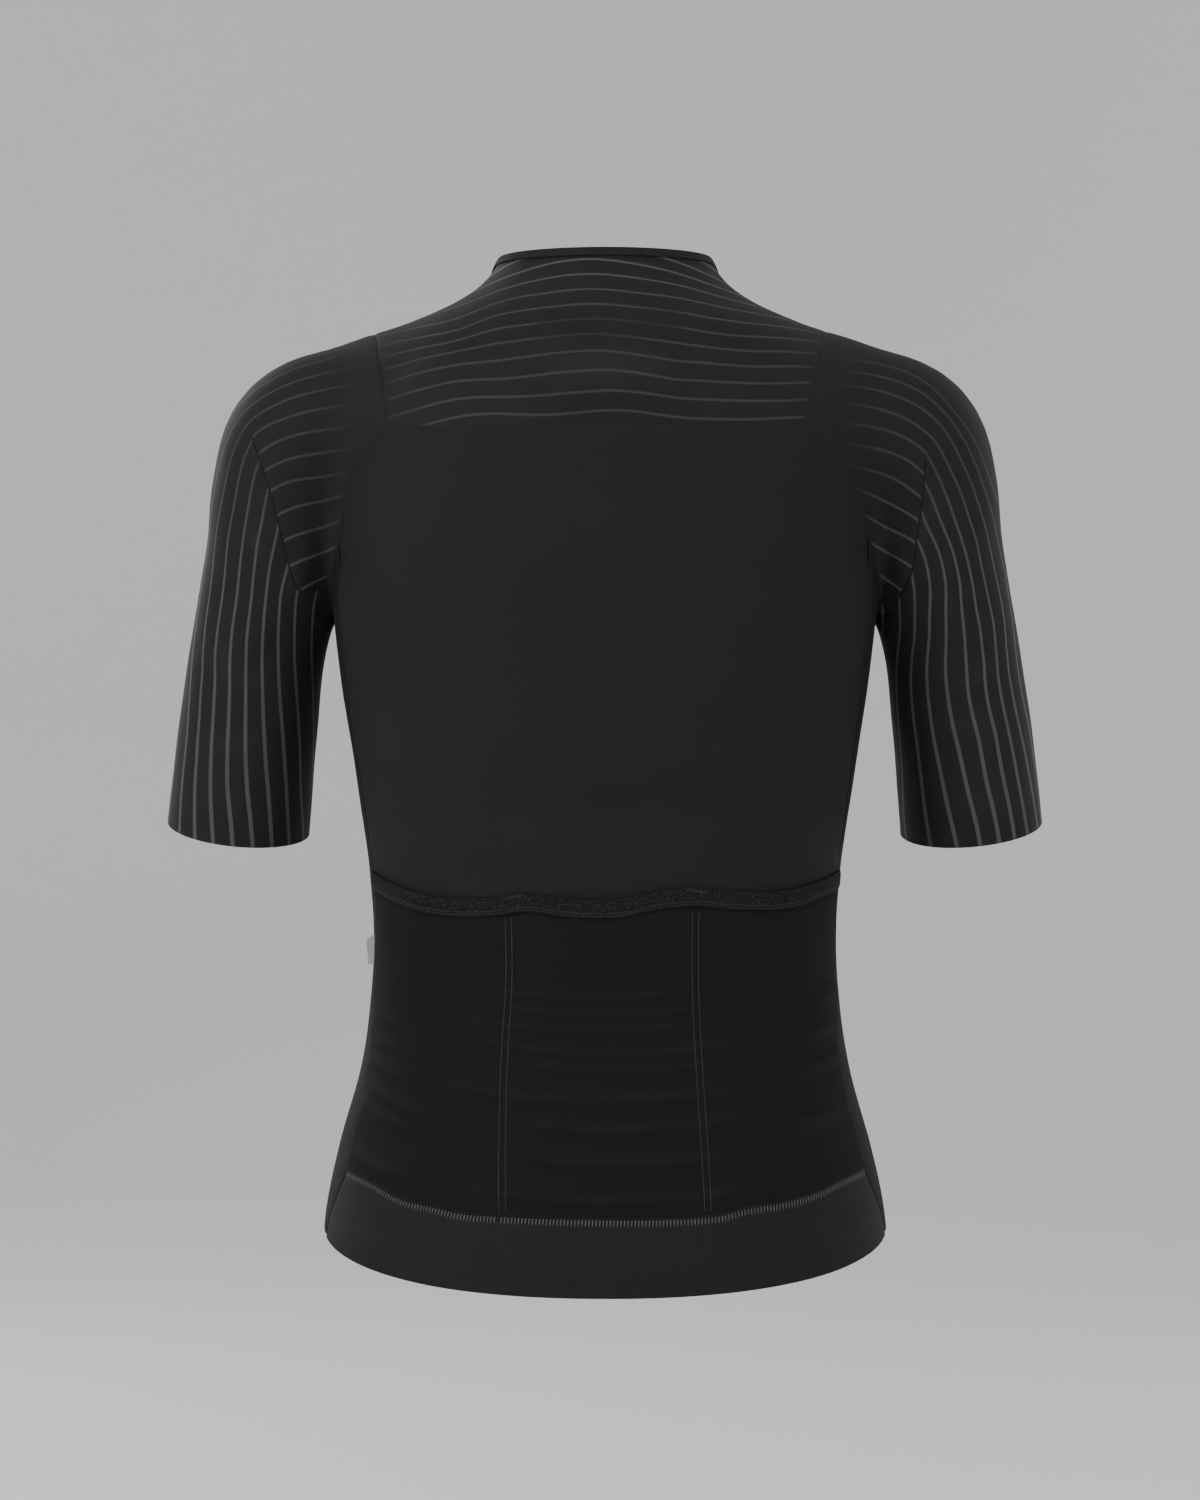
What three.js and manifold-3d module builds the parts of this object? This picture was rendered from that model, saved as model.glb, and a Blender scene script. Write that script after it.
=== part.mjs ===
// Short-sleeved cycling jersey, filled out as it is worn, with a striped yoke and sleeves,
// three back pockets and a full front zip. Millimetres, +Z up, front towards -Y, wearer's left
// towards +X. The origin is on the centre line between the shoulders, which carry the jersey.
import * as THREE from "three";
import * as BufferGeometryUtils from "three/addons/utils/BufferGeometryUtils.js";
import Module from "manifold-3d";

// Cloth and seams
const CLOTH = 1.2;
const SEAM_INSET = 0.18;
const ELASTIC = 1.7;
const BINDING_HEIGHT = 4;
const BINDING_LIFT = 0.85;
const BINDING_WALL = 1.1;

// Back pockets
const POCKET_GAP = 0.5;
const POCKET_SLACK = 1.6;
const POCKET_INSET = 1.2;
const MOUTH_BAND = 10.5;
const DIVIDER_X = [57, -54];
const POCKET_REACH = 145;
const POCKET_FLAT_Z = -545;
const POCKET_EASE = 60;

// Hem: a plane that drops towards the back
const HEM_SIDE_Z = -560;
const HEM_DROP = 0.25;

// Neck edge: level round the back, lower at the front
const NECK_BACK_Z = 24;
const NECK_FRONT_Z = -27;
const NECK_TURN = 75;
const SHOULDER_TURN = 102;

// Cuff: a ring square to the sleeve, at this share of the way along the sleeve's line
const CUFF_STATION = 6.86;
const ELBOW_RING_STATION = 5.0;
const SLEEVE_RINGS = 8;
const CAP_ROWS = 8;
const ARMPIT = { x: 167, z: -188 };
const STATION_STEP = 0.05;

// Zip
const ZIP_HALF = 7.5;
const ZIP_TOP_DEPTH = 66;
const TAPE_INNER = 2.6;
const CHAIN_HALF = 2.3;
const CHAIN_DEPTH = 1.8;
const CHAIN_PROUD = 0.8;
const CHAIN_TOP_Z = -30;
const SLIDER_TOP_Z = -33;
const SLIDER_LENGTH = 11;
const SLIDER_WIDTH = 8;
const SLIDER_FOOT_WIDTH = 5.4;
const SLIDER_PLATE = 1.4;
const SLIDER_GAP = 0.45;
const BRIDGE_WIDTH = 1.6;
const BRIDGE_THICK = 1;
const EYE_RADIUS = 1.05;
const PULL_LENGTH = 21;
const PULL_WIDTH = 6.4;
const PULL_THICK = 1;
const PULL_EYE_HALF = 1.3;
const PULL_EYE_DEPTH = 3.2;

// Side label: a small folded ribbon caught in the wearer's left side seam
const LABEL_TOP_Z = -386;
const LABEL_HEIGHT = 18;
const LABEL_TURN = 81;
const LABEL_SPAN = 4;
const LABEL_WALL = 0.9;
const LABEL_LIFT = 0.75;
const LABEL_STAND = 2.4;
const LABEL_SLANT = 3;
const LABEL_ROWS = 4;
const LABEL_COLUMNS = 3;

// The trunk as level rings: height, half width, depth in front, depth behind, squareness
const TRUNK = [
  { z: 60, half: 60, front: 48, back: 44, square: 2.0 },
  { z: 24, half: 65, front: 55, back: 50, square: 2.0 },
  { z: 9, half: 75, front: 60, back: 58, square: 2.0 },
  { z: -3, half: 92, front: 63, back: 67, square: 2.0 },
  { z: -15, half: 117, front: 65, back: 76, square: 2.0 },
  { z: -27, half: 138, front: 66, back: 84, square: 2.0 },
  { z: -42, half: 150, front: 66.5, back: 91, square: 2.1 },
  { z: -62, half: 157, front: 68.5, back: 99, square: 2.2 },
  { z: -80, half: 160, front: 79, back: 104, square: 2.25 },
  { z: -100, half: 162, front: 92, back: 108, square: 2.3 },
  { z: -150, half: 165, front: 116, back: 111, square: 2.3 },
  { z: -190, half: 165, front: 125, back: 108, square: 2.3 },
  { z: -235, half: 160, front: 119, back: 103, square: 2.2 },
  { z: -300, half: 150, front: 105, back: 94, square: 2.2 },
  { z: -345, half: 143.5, front: 99, back: 89, square: 2.2 },
  { z: -381, half: 141, front: 97, back: 88, square: 2.2 },
  { z: -418, half: 142, front: 99, back: 92, square: 2.2 },
  { z: -467, half: 148.5, front: 104, back: 102, square: 2.2 },
  { z: -515, half: 162, front: 108, back: 114, square: 2.2 },
  { z: -564, half: 171, front: 110, back: 121, square: 2.2 },
  { z: -630, half: 172, front: 108, back: 121, square: 2.2 },
];

// The sleeve as a line of centres with the tube's radius, for the wearer's left arm
const SLEEVE = [
  { x: 110, y: 0, z: -74, radius: 42 },
  { x: 152, y: -1, z: -75, radius: 46 },
  { x: 181, y: -2, z: -88, radius: 49 },
  { x: 192, y: -5, z: -116, radius: 47.5 },
  { x: 199, y: -10, z: -155, radius: 45 },
  { x: 212, y: -19, z: -205, radius: 41.4 },
  { x: 220.8, y: -31, z: -262, radius: 42.8 },
  { x: 229, y: -48, z: -331, radius: 44.3 },
  { x: 233.5, y: -60, z: -375, radius: 45.5 },
];

// How softly trunk and sleeve run together: tight at the armpit, full over the shoulder
const BLEND = [
  { z: -200, soft: 5 },
  { z: -150, soft: 14 },
  { z: -80, soft: 26 },
  { z: -40, soft: 26 },
];

// The largest folds: from one end to the other across the back (+1) or front (-1), with the
// half width of the fold and how far it stands out (less than nothing is a trough)
const FOLDS = [
  { side: 1, x1: 140, z1: -418, x2: 104, z2: -430, wide: 8, out: 2.2 },
  { side: 1, x1: 143, z1: -462, x2: 96, z2: -478, wide: 9, out: 2.4 },
  { side: 1, x1: 148, z1: -500, x2: 110, z2: -512, wide: 9, out: -2.0 },
  { side: 1, x1: -140, z1: -420, x2: -112, z2: -437, wide: 8, out: 2.0 },
  { side: 1, x1: -143, z1: -470, x2: -104, z2: -484, wide: 9, out: 2.4 },
  { side: 1, x1: 162, z1: -150, x2: 132, z2: -205, wide: 10, out: -2.2 },
  { side: 1, x1: -158, z1: -145, x2: -126, z2: -200, wide: 10, out: -2.2 },
  { side: 1, x1: 36, z1: -56, x2: -40, z2: -52, wide: 12, out: 1.6 },
  { side: 1, x1: 70, z1: -300, x2: -70, z2: -305, wide: 16, out: -2.0 },
  { side: -1, x1: 140, z1: -365, x2: 60, z2: -392, wide: 11, out: 2.4 },
  { side: -1, x1: -140, z1: -362, x2: -56, z2: -396, wide: 11, out: 2.4 },
  { side: -1, x1: 150, z1: -150, x2: 84, z2: -196, wide: 12, out: -2.6 },
  { side: -1, x1: -150, z1: -150, x2: -84, z2: -196, wide: 12, out: -2.6 },
];

// Seams as places on the cloth, from the top down: left is the wearer's left
const SEAMS = {
  left: {
    shoulder: [[66, -12, 21], [84, -15, 3], [112, -15, -12], [142, -12, -22]],
    yokeSide: [[142, -12, -22], [138, 25, -26], [134, 53, -49], [129, 69, -84]],
    raglan: [[129, 69, -84], [142, 59, -96], [152, 49, -113], [157, 41, -131], [161, 35, -150]],
    underarmBack: [[161, 35, -150], [165, 24, -165], [167, 12, -179], [168, 2, -185]],
    side: [[161, 35, -150], [159, 34, -184], [157, 33, -208], [153, 25, -256], [146, 25, -304],
      [139, 24, -347], [137, 23, -403], [138, 27, -431], [143, 36, -467], [149, 41, -498],
      [154, 46, -527]],
    bandSide: [[154, 46, -527], [162, 36, -547], [167, 26, -567]],
  },
  right: {
    shoulder: [[66, -12, 21], [82, -15, 3], [108, -15, -12], [137, -12, -21]],
    yokeSide: [[137, -12, -21], [131, 28, -25], [126, 55, -46], [118, 77, -82]],
    raglan: [[118, 77, -82], [133, 69, -94], [144, 60, -111], [152, 50, -126], [158, 41, -146]],
    underarmBack: [[158, 41, -146], [163, 27, -164], [167, 12, -179], [168, 2, -185]],
    side: [[158, 41, -146], [157, 38, -184], [155, 37, -208], [150, 30, -256], [145, 24, -304],
      [140, 21, -347], [139, 19, -390], [138, 28, -431], [142, 38, -470], [149, 42, -498],
      [155, 44, -527]],
    bandSide: [[155, 44, -527], [163, 33, -547], [168, 22, -567]],
  },
};
const FRONT_SEAMS = {
  underarmFront: [[168, 2, -185], [167, -12, -180], [164, -28, -166], [160, -44, -150]],
  armholeFront: [[160, -44, -150], [151, -62, -132], [142, -66, -106], [137, -58, -74],
    [138, -38, -42]],
  side: [[160, -44, -150], [158, -46, -184], [156, -44, -208], [150, -38, -256], [143, -36, -304],
    [136, -36, -347], [134, -36, -403], [136, -38, -431], [142, -42, -467], [153, -44, -515],
    [164, -42, -550]],
};

// Seams across the back, from the wearer's left to the right
const YOKE_FOOT = [[129, 69, -84], [91, 92, -87], [49, 102, -86], [3, 105, -85], [-43, 103, -85],
  [-85, 93, -85], [-118, 77, -82]];
const BAND_SEAM = [[154, 46, -527], [137, 72, -532], [120, 88, -539], [101, 99, -542],
  [84, 106, -545], [60, 113, -546], [3, 119, -547], [-43, 117, -547], [-64, 112, -546],
  [-84, 106, -542], [-103, 98, -540], [-124, 85, -536], [-139, 70, -531], [-155, 44, -527]];
const MOUTH = [[138, 24, -347], [123, 49, -355], [106, 63, -360], [89, 72, -362], [61, 81, -361],
  [46, 85, -359], [19, 87, -362], [-9, 88, -362], [-23, 87, -359], [-38, 86, -356.5],
  [-53, 84, -355.5], [-73, 78, -357.5], [-97, 68, -358.5], [-113, 58, -356.5],
  [-128, 43, -352], [-140, 21, -347]];

// How many facets each stretch of seam is cut into
const CUT = {
  shoulder: 4, yokeSide: 4, raglan: 4, underarm: 3, side: 20, bandSide: 2, armholeFront: 6,
  across: 22, neckFront: 4, mouth: 30, pocketDown: 9, collar: 40,
};

const vector = (row) => new THREE.Vector3(row[0], row[1], row[2]);
const flip = (rows) => rows.map(([x, y, z]) => [-x, y, z]);
const mix = (a, b, t) => a + (b - a) * t;
const clamp = (value, low, high) => Math.min(high, Math.max(low, value));

// Smooth reading of a table between its rows, by a cubic through their slopes
function readTable(rows, key, at, names) {
  const keys = rows.map((row) => row[key]);
  const x = clamp(at, keys[0], keys[keys.length - 1]);
  let i = 0;
  while (i < keys.length - 2 && keys[i + 1] < x) i += 1;
  const h = keys[i + 1] - keys[i];
  const t = (x - keys[i]) / h;
  const out = {};
  for (const name of names) {
    const slope = (j) => {
      const low = Math.max(0, j - 1);
      const high = Math.min(rows.length - 1, j + 1);
      return (rows[high][name] - rows[low][name]) / (keys[high] - keys[low]);
    };
    const stay = (2 * t ** 3 - 3 * t ** 2 + 1) * rows[i][name];
    const reach = (3 * t ** 2 - 2 * t ** 3) * rows[i + 1][name];
    const turn = (t ** 3 - 2 * t ** 2 + t) * h * slope(i) + (t ** 3 - t ** 2) * h * slope(i + 1);
    out[name] = stay + reach + turn;
  }
  return out;
}

const TRUNK_UP = TRUNK.slice().reverse();
const RING_NAMES = ["half", "front", "back", "square"];
const SPINE_ROWS = SLEEVE.map((row, index) => ({ station: index, ...row }));
const SPINE_STEPS = 48;

// Distance from the centre line to the trunk's ring, in one level direction
function ringReach(cosine, sine, z) {
  const ring = readTable(TRUNK_UP, "z", z, RING_NAMES);
  const depth = sine < 0 ? ring.front : ring.back;
  const sum = (Math.abs(cosine) / ring.half) ** ring.square + (Math.abs(sine) / depth) ** ring.square;
  return sum ** (-1 / ring.square);
}

function trunkDistance(p) {
  const out = Math.hypot(p.x, p.y) + 1e-9;
  const cosine = p.x / out;
  const sine = p.y / out;
  const step = 2;
  const above = ringReach(cosine, sine, p.z + step);
  const below = ringReach(cosine, sine, p.z - step);
  const lean = (above - below) / (2 * step);
  return (out - ringReach(cosine, sine, p.z)) / Math.sqrt(1 + lean ** 2);
}

function sleeveAt(station) {
  const row = readTable(SPINE_ROWS, "station", station, ["x", "y", "z", "radius"]);
  return { centre: new THREE.Vector3(row.x, row.y, row.z), radius: row.radius };
}

const SPINE = Array.from({ length: SPINE_STEPS + 1 }, (_, i) =>
  sleeveAt((i / SPINE_STEPS) * (SLEEVE.length - 1)));

function sleeveDistance(p) {
  const q = new THREE.Vector3(Math.abs(p.x), p.y, p.z);
  let best = Infinity;
  for (let i = 0; i < SPINE_STEPS; i += 1) {
    const start = SPINE[i];
    const along = SPINE[i + 1].centre.clone().sub(start.centre);
    const share = clamp(q.clone().sub(start.centre).dot(along) / along.lengthSq(), 0, 1);
    const near = start.centre.clone().addScaledVector(along, share);
    best = Math.min(best, q.distanceTo(near) - mix(start.radius, SPINE[i + 1].radius, share));
  }
  return best;
}

function blendAt(z) {
  if (z <= BLEND[0].z) return BLEND[0].soft;
  for (let i = 0; i < BLEND.length - 1; i += 1) {
    const low = BLEND[i];
    const high = BLEND[i + 1];
    if (z <= high.z) return mix(low.soft, high.soft, (z - low.z) / (high.z - low.z));
  }
  return BLEND[BLEND.length - 1].soft;
}

// How far a point stands off the smooth form of the cloth
function formDistance(p) {
  const trunk = trunkDistance(p);
  const sleeve = sleeveDistance(p);
  const soft = blendAt(p.z);
  const close = Math.max(soft - Math.abs(trunk - sleeve), 0) / soft;
  return Math.min(trunk, sleeve) - (close * close * soft) / 4;
}

function formNormal(p) {
  const step = 0.5;
  const slope = new THREE.Vector3();
  for (const axis of ["x", "y", "z"]) {
    const high = p.clone();
    const low = p.clone();
    high[axis] += step;
    low[axis] -= step;
    slope[axis] = formDistance(high) - formDistance(low);
  }
  return slope.normalize();
}

// Height of the folds over the smooth form
function foldHeight(p) {
  let height = 0;
  for (const fold of FOLDS) {
    const dx = fold.x2 - fold.x1;
    const dz = fold.z2 - fold.z1;
    const share = ((p.x - fold.x1) * dx + (p.z - fold.z1) * dz) / (dx * dx + dz * dz);
    const on = clamp(share, 0, 1);
    const away = Math.hypot(p.x - fold.x1 - on * dx, p.z - fold.z1 - on * dz);
    const onSide = clamp((p.y * fold.side) / 20, 0, 1);
    height += fold.out * onSide * Math.exp(-((away / fold.wide) ** 2));
  }
  return height;
}

const SETTLE_ROUNDS = 6;

// Moves a point along the form's normal until it stands the given height off the cloth
function settle(start, height = 0) {
  const p = start.clone();
  for (let i = 0; i < SETTLE_ROUNDS; i += 1) {
    const gap = formDistance(p) - height - foldHeight(p);
    p.addScaledVector(formNormal(p), -gap);
  }
  return p;
}

// Even steps along a seam, each step brought on to the cloth
function seam(rows, steps) {
  const line = new THREE.CatmullRomCurve3(rows.map(vector), false, "centripetal");
  return line.getSpacedPoints(steps).map((p) => settle(p));
}

const join = (...parts) => parts.reduce((all, part) => all.concat(all.length ? part.slice(1) : part));
const back = (points) => points.slice().reverse();

// A point of the trunk by its turn from the centre back (degrees, left first) and height
function round(turn, z) {
  const angle = THREE.MathUtils.degToRad(turn);
  const sine = Math.cos(angle);
  const cosine = Math.sin(angle);
  const reach = ringReach(cosine, sine, z);
  return settle(new THREE.Vector3(cosine * reach, sine * reach, z));
}

function neckEdge(turn) {
  const way = clamp((Math.abs(turn) - NECK_TURN) / (180 - NECK_TURN), 0, 1);
  const ease = way * way * (3 - 2 * way);
  return round(turn, mix(NECK_BACK_Z, NECK_FRONT_Z, ease));
}

const hemZ = (y) => HEM_SIDE_Z - HEM_DROP * y;

function hemPoint(p) {
  const q = p.clone();
  for (let i = 0; i < SETTLE_ROUNDS; i += 1) {
    q.z = hemZ(q.y);
    q.copy(settle(q));
  }
  q.z = hemZ(q.y);
  return q;
}

// A sheet of points between four edges: across the top and foot, down the two sides
function sheet(top, foot, left, right) {
  const wide = top.length - 1;
  const deep = left.length - 1;
  const rows = [];
  for (let j = 0; j <= deep; j += 1) {
    const v = j / deep;
    const row = [];
    for (let i = 0; i <= wide; i += 1) {
      const u = i / wide;
      const p = new THREE.Vector3();
      p.addScaledVector(top[i], 1 - v).addScaledVector(foot[i], v);
      p.addScaledVector(left[j], 1 - u).addScaledVector(right[j], u);
      p.addScaledVector(top[0], -(1 - u) * (1 - v)).addScaledVector(top[wide], -u * (1 - v));
      p.addScaledVector(foot[0], -(1 - u) * v).addScaledVector(foot[wide], -u * v);
      row.push(p);
    }
    rows.push(row);
  }
  return rows;
}

// Draws one edge row of points towards the next row, which leaves the gap of the seam
function drawIn(edge, next, inset) {
  edge.forEach((p, i) => {
    const way = next[i].clone().sub(p);
    p.addScaledVector(way.normalize(), inset);
  });
}

function trim(rows, closed, inset = SEAM_INSET) {
  const last = rows.length - 1;
  const wide = rows[0].length - 1;
  drawIn(rows[0], rows[1], inset);
  drawIn(rows[last], rows[last - 1], inset);
  if (closed) return rows;
  drawIn(rows.map((row) => row[0]), rows.map((row) => row[1]), inset);
  drawIn(rows.map((row) => row[wide]), rows.map((row) => row[wide - 1]), inset);
  return rows;
}

// Turn of the neck edge, from the centre back, at which the zip tape starts
const ZIP_TURN = 180 - THREE.MathUtils.radToDeg(Math.atan(ZIP_HALF / ZIP_TOP_DEPTH));

// A closed solid from an outer and an inner sheet of points; a closed sheet joins round
function solid(outer, inner, closed) {
  const deep = outer.length;
  const wide = outer[0].length;
  const positions = [];
  for (const rows of [outer, inner]) {
    for (const row of rows) for (const p of row) positions.push(p.x, p.y, p.z);
  }
  const out = (j, i) => j * wide + (i % wide);
  const inn = (j, i) => deep * wide + j * wide + (i % wide);
  const faces = [];
  const quad = (a, b, c, d) => faces.push(a, b, c, a, c, d);
  const spans = closed ? wide : wide - 1;
  for (let j = 0; j < deep - 1; j += 1) {
    for (let i = 0; i < spans; i += 1) {
      quad(out(j, i), out(j + 1, i), out(j + 1, i + 1), out(j, i + 1));
      quad(inn(j, i), inn(j, i + 1), inn(j + 1, i + 1), inn(j + 1, i));
    }
    if (!closed) {
      quad(out(j, 0), inn(j, 0), inn(j + 1, 0), out(j + 1, 0));
      quad(out(j, spans), out(j + 1, spans), inn(j + 1, spans), inn(j, spans));
    }
  }
  for (let i = 0; i < spans; i += 1) {
    quad(out(0, i), out(0, i + 1), inn(0, i + 1), inn(0, i));
    quad(out(deep - 1, i), inn(deep - 1, i), inn(deep - 1, i + 1), out(deep - 1, i + 1));
  }
  const geometry = new THREE.BufferGeometry();
  geometry.setAttribute("position", new THREE.Float32BufferAttribute(positions, 3));
  geometry.setIndex(faces);
  return geometry;
}

// Turns the faces outwards where the sheet was laid the other way round
function faceOut(geometry) {
  const position = geometry.getAttribute("position");
  const index = geometry.getIndex();
  const at = (i) => new THREE.Vector3().fromBufferAttribute(position, index.getX(i));
  let volume = 0;
  for (let i = 0; i < index.count; i += 3) volume += at(i).dot(at(i + 1).cross(at(i + 2)));
  if (volume < 0) {
    for (let i = 0; i < index.count; i += 3) {
      const second = index.getX(i + 1);
      index.setX(i + 1, index.getX(i + 2));
      index.setX(i + 2, second);
    }
  }
  geometry.computeVertexNormals();
  return geometry;
}

// A cloth wall whose outer face stands at the given height over the form
function clothWall(rows, { height = () => 0, wall = CLOTH, closed = false } = {}) {
  const outer = rows.map((row) => row.map((p) => settle(p, height(p))));
  const inner = outer.map((row) => row.map((p) => p.clone().addScaledVector(formNormal(p), -wall)));
  return faceOut(solid(outer, inner, closed));
}

const jersey = new THREE.Group();

function addPiece(name, geometry, material) {
  const mesh = new THREE.Mesh(geometry, material);
  mesh.name = name;
  jersey.add(mesh);
  return mesh;
}

const finish = (color, roughness, metalness = 0) =>
  new THREE.MeshStandardMaterial({ color, roughness, metalness });
const stripedCloth = finish(0x272729, 0.78);
const bodyCloth = finish(0x222224, 0.82);
const pocketCloth = finish(0x18181a, 0.92);
const elasticCloth = finish(0x262628, 0.85);
const tapeCloth = finish(0x1b1b1d, 0.85);
const labelCloth = finish(0x8a8a8c, 0.8);
const zipPlastic = finish(0x161618, 0.5);
const sliderMetal = finish(0x202022, 0.4, 0.8);

// Seam lines of one side, +1 for the wearer's left
function sideLines(sign) {
  const rows = sign > 0 ? SEAMS.left : SEAMS.right;
  const place = (list) => (sign > 0 ? list : flip(list));
  const lines = {
    shoulder: seam(place(rows.shoulder), CUT.shoulder),
    yokeSide: seam(place(rows.yokeSide), CUT.yokeSide),
    raglan: seam(place(rows.raglan), CUT.raglan),
    underarmBack: seam(place(rows.underarmBack), CUT.underarm),
    side: seam(place(rows.side), CUT.side),
    bandSide: seam(place(rows.bandSide), CUT.bandSide),
    underarmFront: seam(place(FRONT_SEAMS.underarmFront), CUT.underarm),
    frontSide: seam(place(FRONT_SEAMS.side), CUT.side + CUT.bandSide),
  };
  const top = rows.shoulder[rows.shoulder.length - 1];
  lines.armholeFront = seam(place([...FRONT_SEAMS.armholeFront, top]), CUT.armholeFront);
  lines.shoulder[0] = neckEdge(sign * SHOULDER_TURN);
  lines.bandSide[CUT.bandSide] = hemPoint(lines.bandSide[CUT.bandSide]);
  lines.frontSide[CUT.side + CUT.bandSide] = hemPoint(lines.frontSide[CUT.side + CUT.bandSide]);
  return lines;
}

const left = sideLines(1);
const right = sideLines(-1);

// Back yoke with the grown-on back of the collar
function backYoke() {
  const steps = CUT.across - 2 * CUT.shoulder;
  const neck = Array.from({ length: steps + 1 }, (_, i) =>
    neckEdge(mix(SHOULDER_TURN, -SHOULDER_TURN, i / steps)));
  const top = join(back(left.shoulder), neck, right.shoulder);
  const foot = seam(YOKE_FOOT, CUT.across);
  return clothWall(trim(sheet(top, foot, left.yokeSide, right.yokeSide)));
}

// Plain back panel from the yoke down behind the pockets
function backPanel() {
  const top = seam(YOKE_FOOT, CUT.across);
  const foot = seam(BAND_SEAM, CUT.across);
  const rows = sheet(top, foot, join(left.raglan, left.side), join(right.raglan, right.side));
  return clothWall(trim(rows));
}

// Elastic band below the back pockets
function backHemBand() {
  const top = seam(BAND_SEAM, CUT.across);
  const low = left.bandSide[CUT.bandSide];
  const end = right.bandSide[CUT.bandSide];
  const sweep = Math.atan2(low.x, low.y);
  const sweepEnd = Math.atan2(end.x, end.y);
  const foot = top.map((_, i) => {
    const turn = THREE.MathUtils.radToDeg(mix(sweep, sweepEnd, i / CUT.across));
    return hemPoint(round(turn, HEM_SIDE_Z));
  });
  foot[0] = low;
  foot[CUT.across] = end;
  return clothWall(trim(sheet(top, foot, left.bandSide, right.bandSide)));
}

// How far the pocket cloth stands off the back panel between its rows of stitching
function pocketSlack(p) {
  const edges = [POCKET_REACH, ...DIVIDER_X, -POCKET_REACH];
  let slack = 0;
  for (let i = 0; i < edges.length - 1; i += 1) {
    const way = (p.x - edges[i + 1]) / (edges[i] - edges[i + 1]);
    if (way > 0 && way < 1) slack = POCKET_SLACK * Math.sin(Math.PI * way) ** 2;
  }
  return slack * clamp((p.z - POCKET_FLAT_Z) / POCKET_EASE, 0, 1);
}

const DENSE_STEPS = 400;

// The stretch of the side seam between two heights
function sideStretch(line, high, low, steps) {
  const curve = new THREE.CatmullRomCurve3(line, false, "centripetal");
  const dense = curve.getSpacedPoints(DENSE_STEPS);
  const kept = dense.filter((p) => p.z <= high && p.z >= low);
  return new THREE.CatmullRomCurve3(kept).getSpacedPoints(steps);
}

function shiftDown(points, by) {
  return points.map((p) => settle(p.clone().setZ(p.z - by)));
}

function pocketPanel() {
  const mouth = seam(MOUTH, CUT.across);
  const top = shiftDown(mouth, MOUTH_BAND + SEAM_INSET);
  const foot = seam(BAND_SEAM, CUT.across);
  const leftSide = sideStretch(left.side, top[0].z, foot[0].z, CUT.pocketDown);
  const rightSide = sideStretch(right.side, top[CUT.across].z, foot[CUT.across].z, CUT.pocketDown);
  top[0] = leftSide[0];
  top[CUT.across] = rightSide[0];
  const rows = trim(sheet(top, foot, leftSide, rightSide), false, POCKET_INSET);
  return clothWall(rows, { height: (p) => CLOTH + POCKET_GAP + pocketSlack(p) });
}

// Elastic binding along the pocket mouths
function pocketBinding() {
  const top = seam(MOUTH, CUT.mouth);
  const foot = shiftDown(top, MOUTH_BAND - SEAM_INSET);
  const ends = [
    [top[0], foot[0]],
    [top[CUT.mouth], foot[CUT.mouth]],
  ];
  const rows = trim(sheet(top, foot, ends[0], ends[1]));
  drawIn(rows.map((row) => row[0]), rows.map((row) => row[1]), POCKET_INSET);
  drawIn(rows.map((row) => row[CUT.mouth]), rows.map((row) => row[CUT.mouth - 1]), POCKET_INSET);
  return clothWall(rows, {
    height: (p) => ELASTIC + POCKET_GAP + pocketSlack(p),
    wall: ELASTIC,
  });
}

// Narrow panel under the arm, from the armpit to the hem
function sidePanel(lines) {
  const top = join(lines.underarmBack, lines.underarmFront);
  const backEdge = join(lines.side, lines.bandSide);
  const last = CUT.side + CUT.bandSide;
  const foot = top.map((_, i) => {
    const p = backEdge[last].clone().lerp(lines.frontSide[last], i / (top.length - 1));
    return hemPoint(p);
  });
  return clothWall(trim(sheet(top, foot, backEdge, lines.frontSide)));
}

// A point on the centre front at the given distance from the zip's middle
function beside(x, z) {
  return settle(new THREE.Vector3(x, -ringReach(0, -1, z), z));
}

// Front half from the zip to the armhole and side seam
function frontHalf(lines, sign) {
  const deep = CUT.armholeFront + CUT.side + CUT.bandSide;
  const zipTop = neckEdge(sign * ZIP_TURN);
  const zipFoot = hemPoint(beside(sign * ZIP_HALF, HEM_SIDE_Z));
  const inner = Array.from({ length: deep + 1 }, (_, i) =>
    beside(sign * ZIP_HALF, mix(zipTop.z, zipFoot.z, i / deep)));
  inner[0] = zipTop;
  inner[deep] = zipFoot;
  const neck = Array.from({ length: CUT.neckFront + 1 }, (_, i) =>
    neckEdge(sign * mix(ZIP_TURN, SHOULDER_TURN, i / CUT.neckFront)));
  const top = join(neck, lines.shoulder);
  const wide = top.length - 1;
  const low = lines.frontSide[CUT.side + CUT.bandSide];
  const foot = top.map((_, i) => hemPoint(zipFoot.clone().lerp(low, i / wide)));
  foot[0] = zipFoot;
  foot[wide] = low;
  const outer = join(back(lines.armholeFront), lines.frontSide);
  return clothWall(trim(sheet(top, foot, inner, outer)));
}

// A ring round the sleeve, square to its line, starting at its top and going to the back
function sleeveRing(station, sign, count, first) {
  const { centre, radius } = sleeveAt(station);
  const ahead = sleeveAt(Math.min(station + STATION_STEP, SLEEVE.length - 1)).centre;
  const behind = sleeveAt(station - STATION_STEP).centre;
  const along = ahead.sub(behind).normalize();
  const rear = new THREE.Vector3(0, 1, 0).addScaledVector(along, -along.y).normalize();
  const outward = along.clone().cross(rear).normalize();
  return Array.from({ length: count }, (_, i) => {
    const angle = first + (i / count) * 2 * Math.PI;
    const p = centre.clone();
    p.addScaledVector(outward, radius * Math.cos(angle));
    p.addScaledVector(rear, radius * Math.sin(angle));
    p.x *= sign;
    return p;
  });
}

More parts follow.
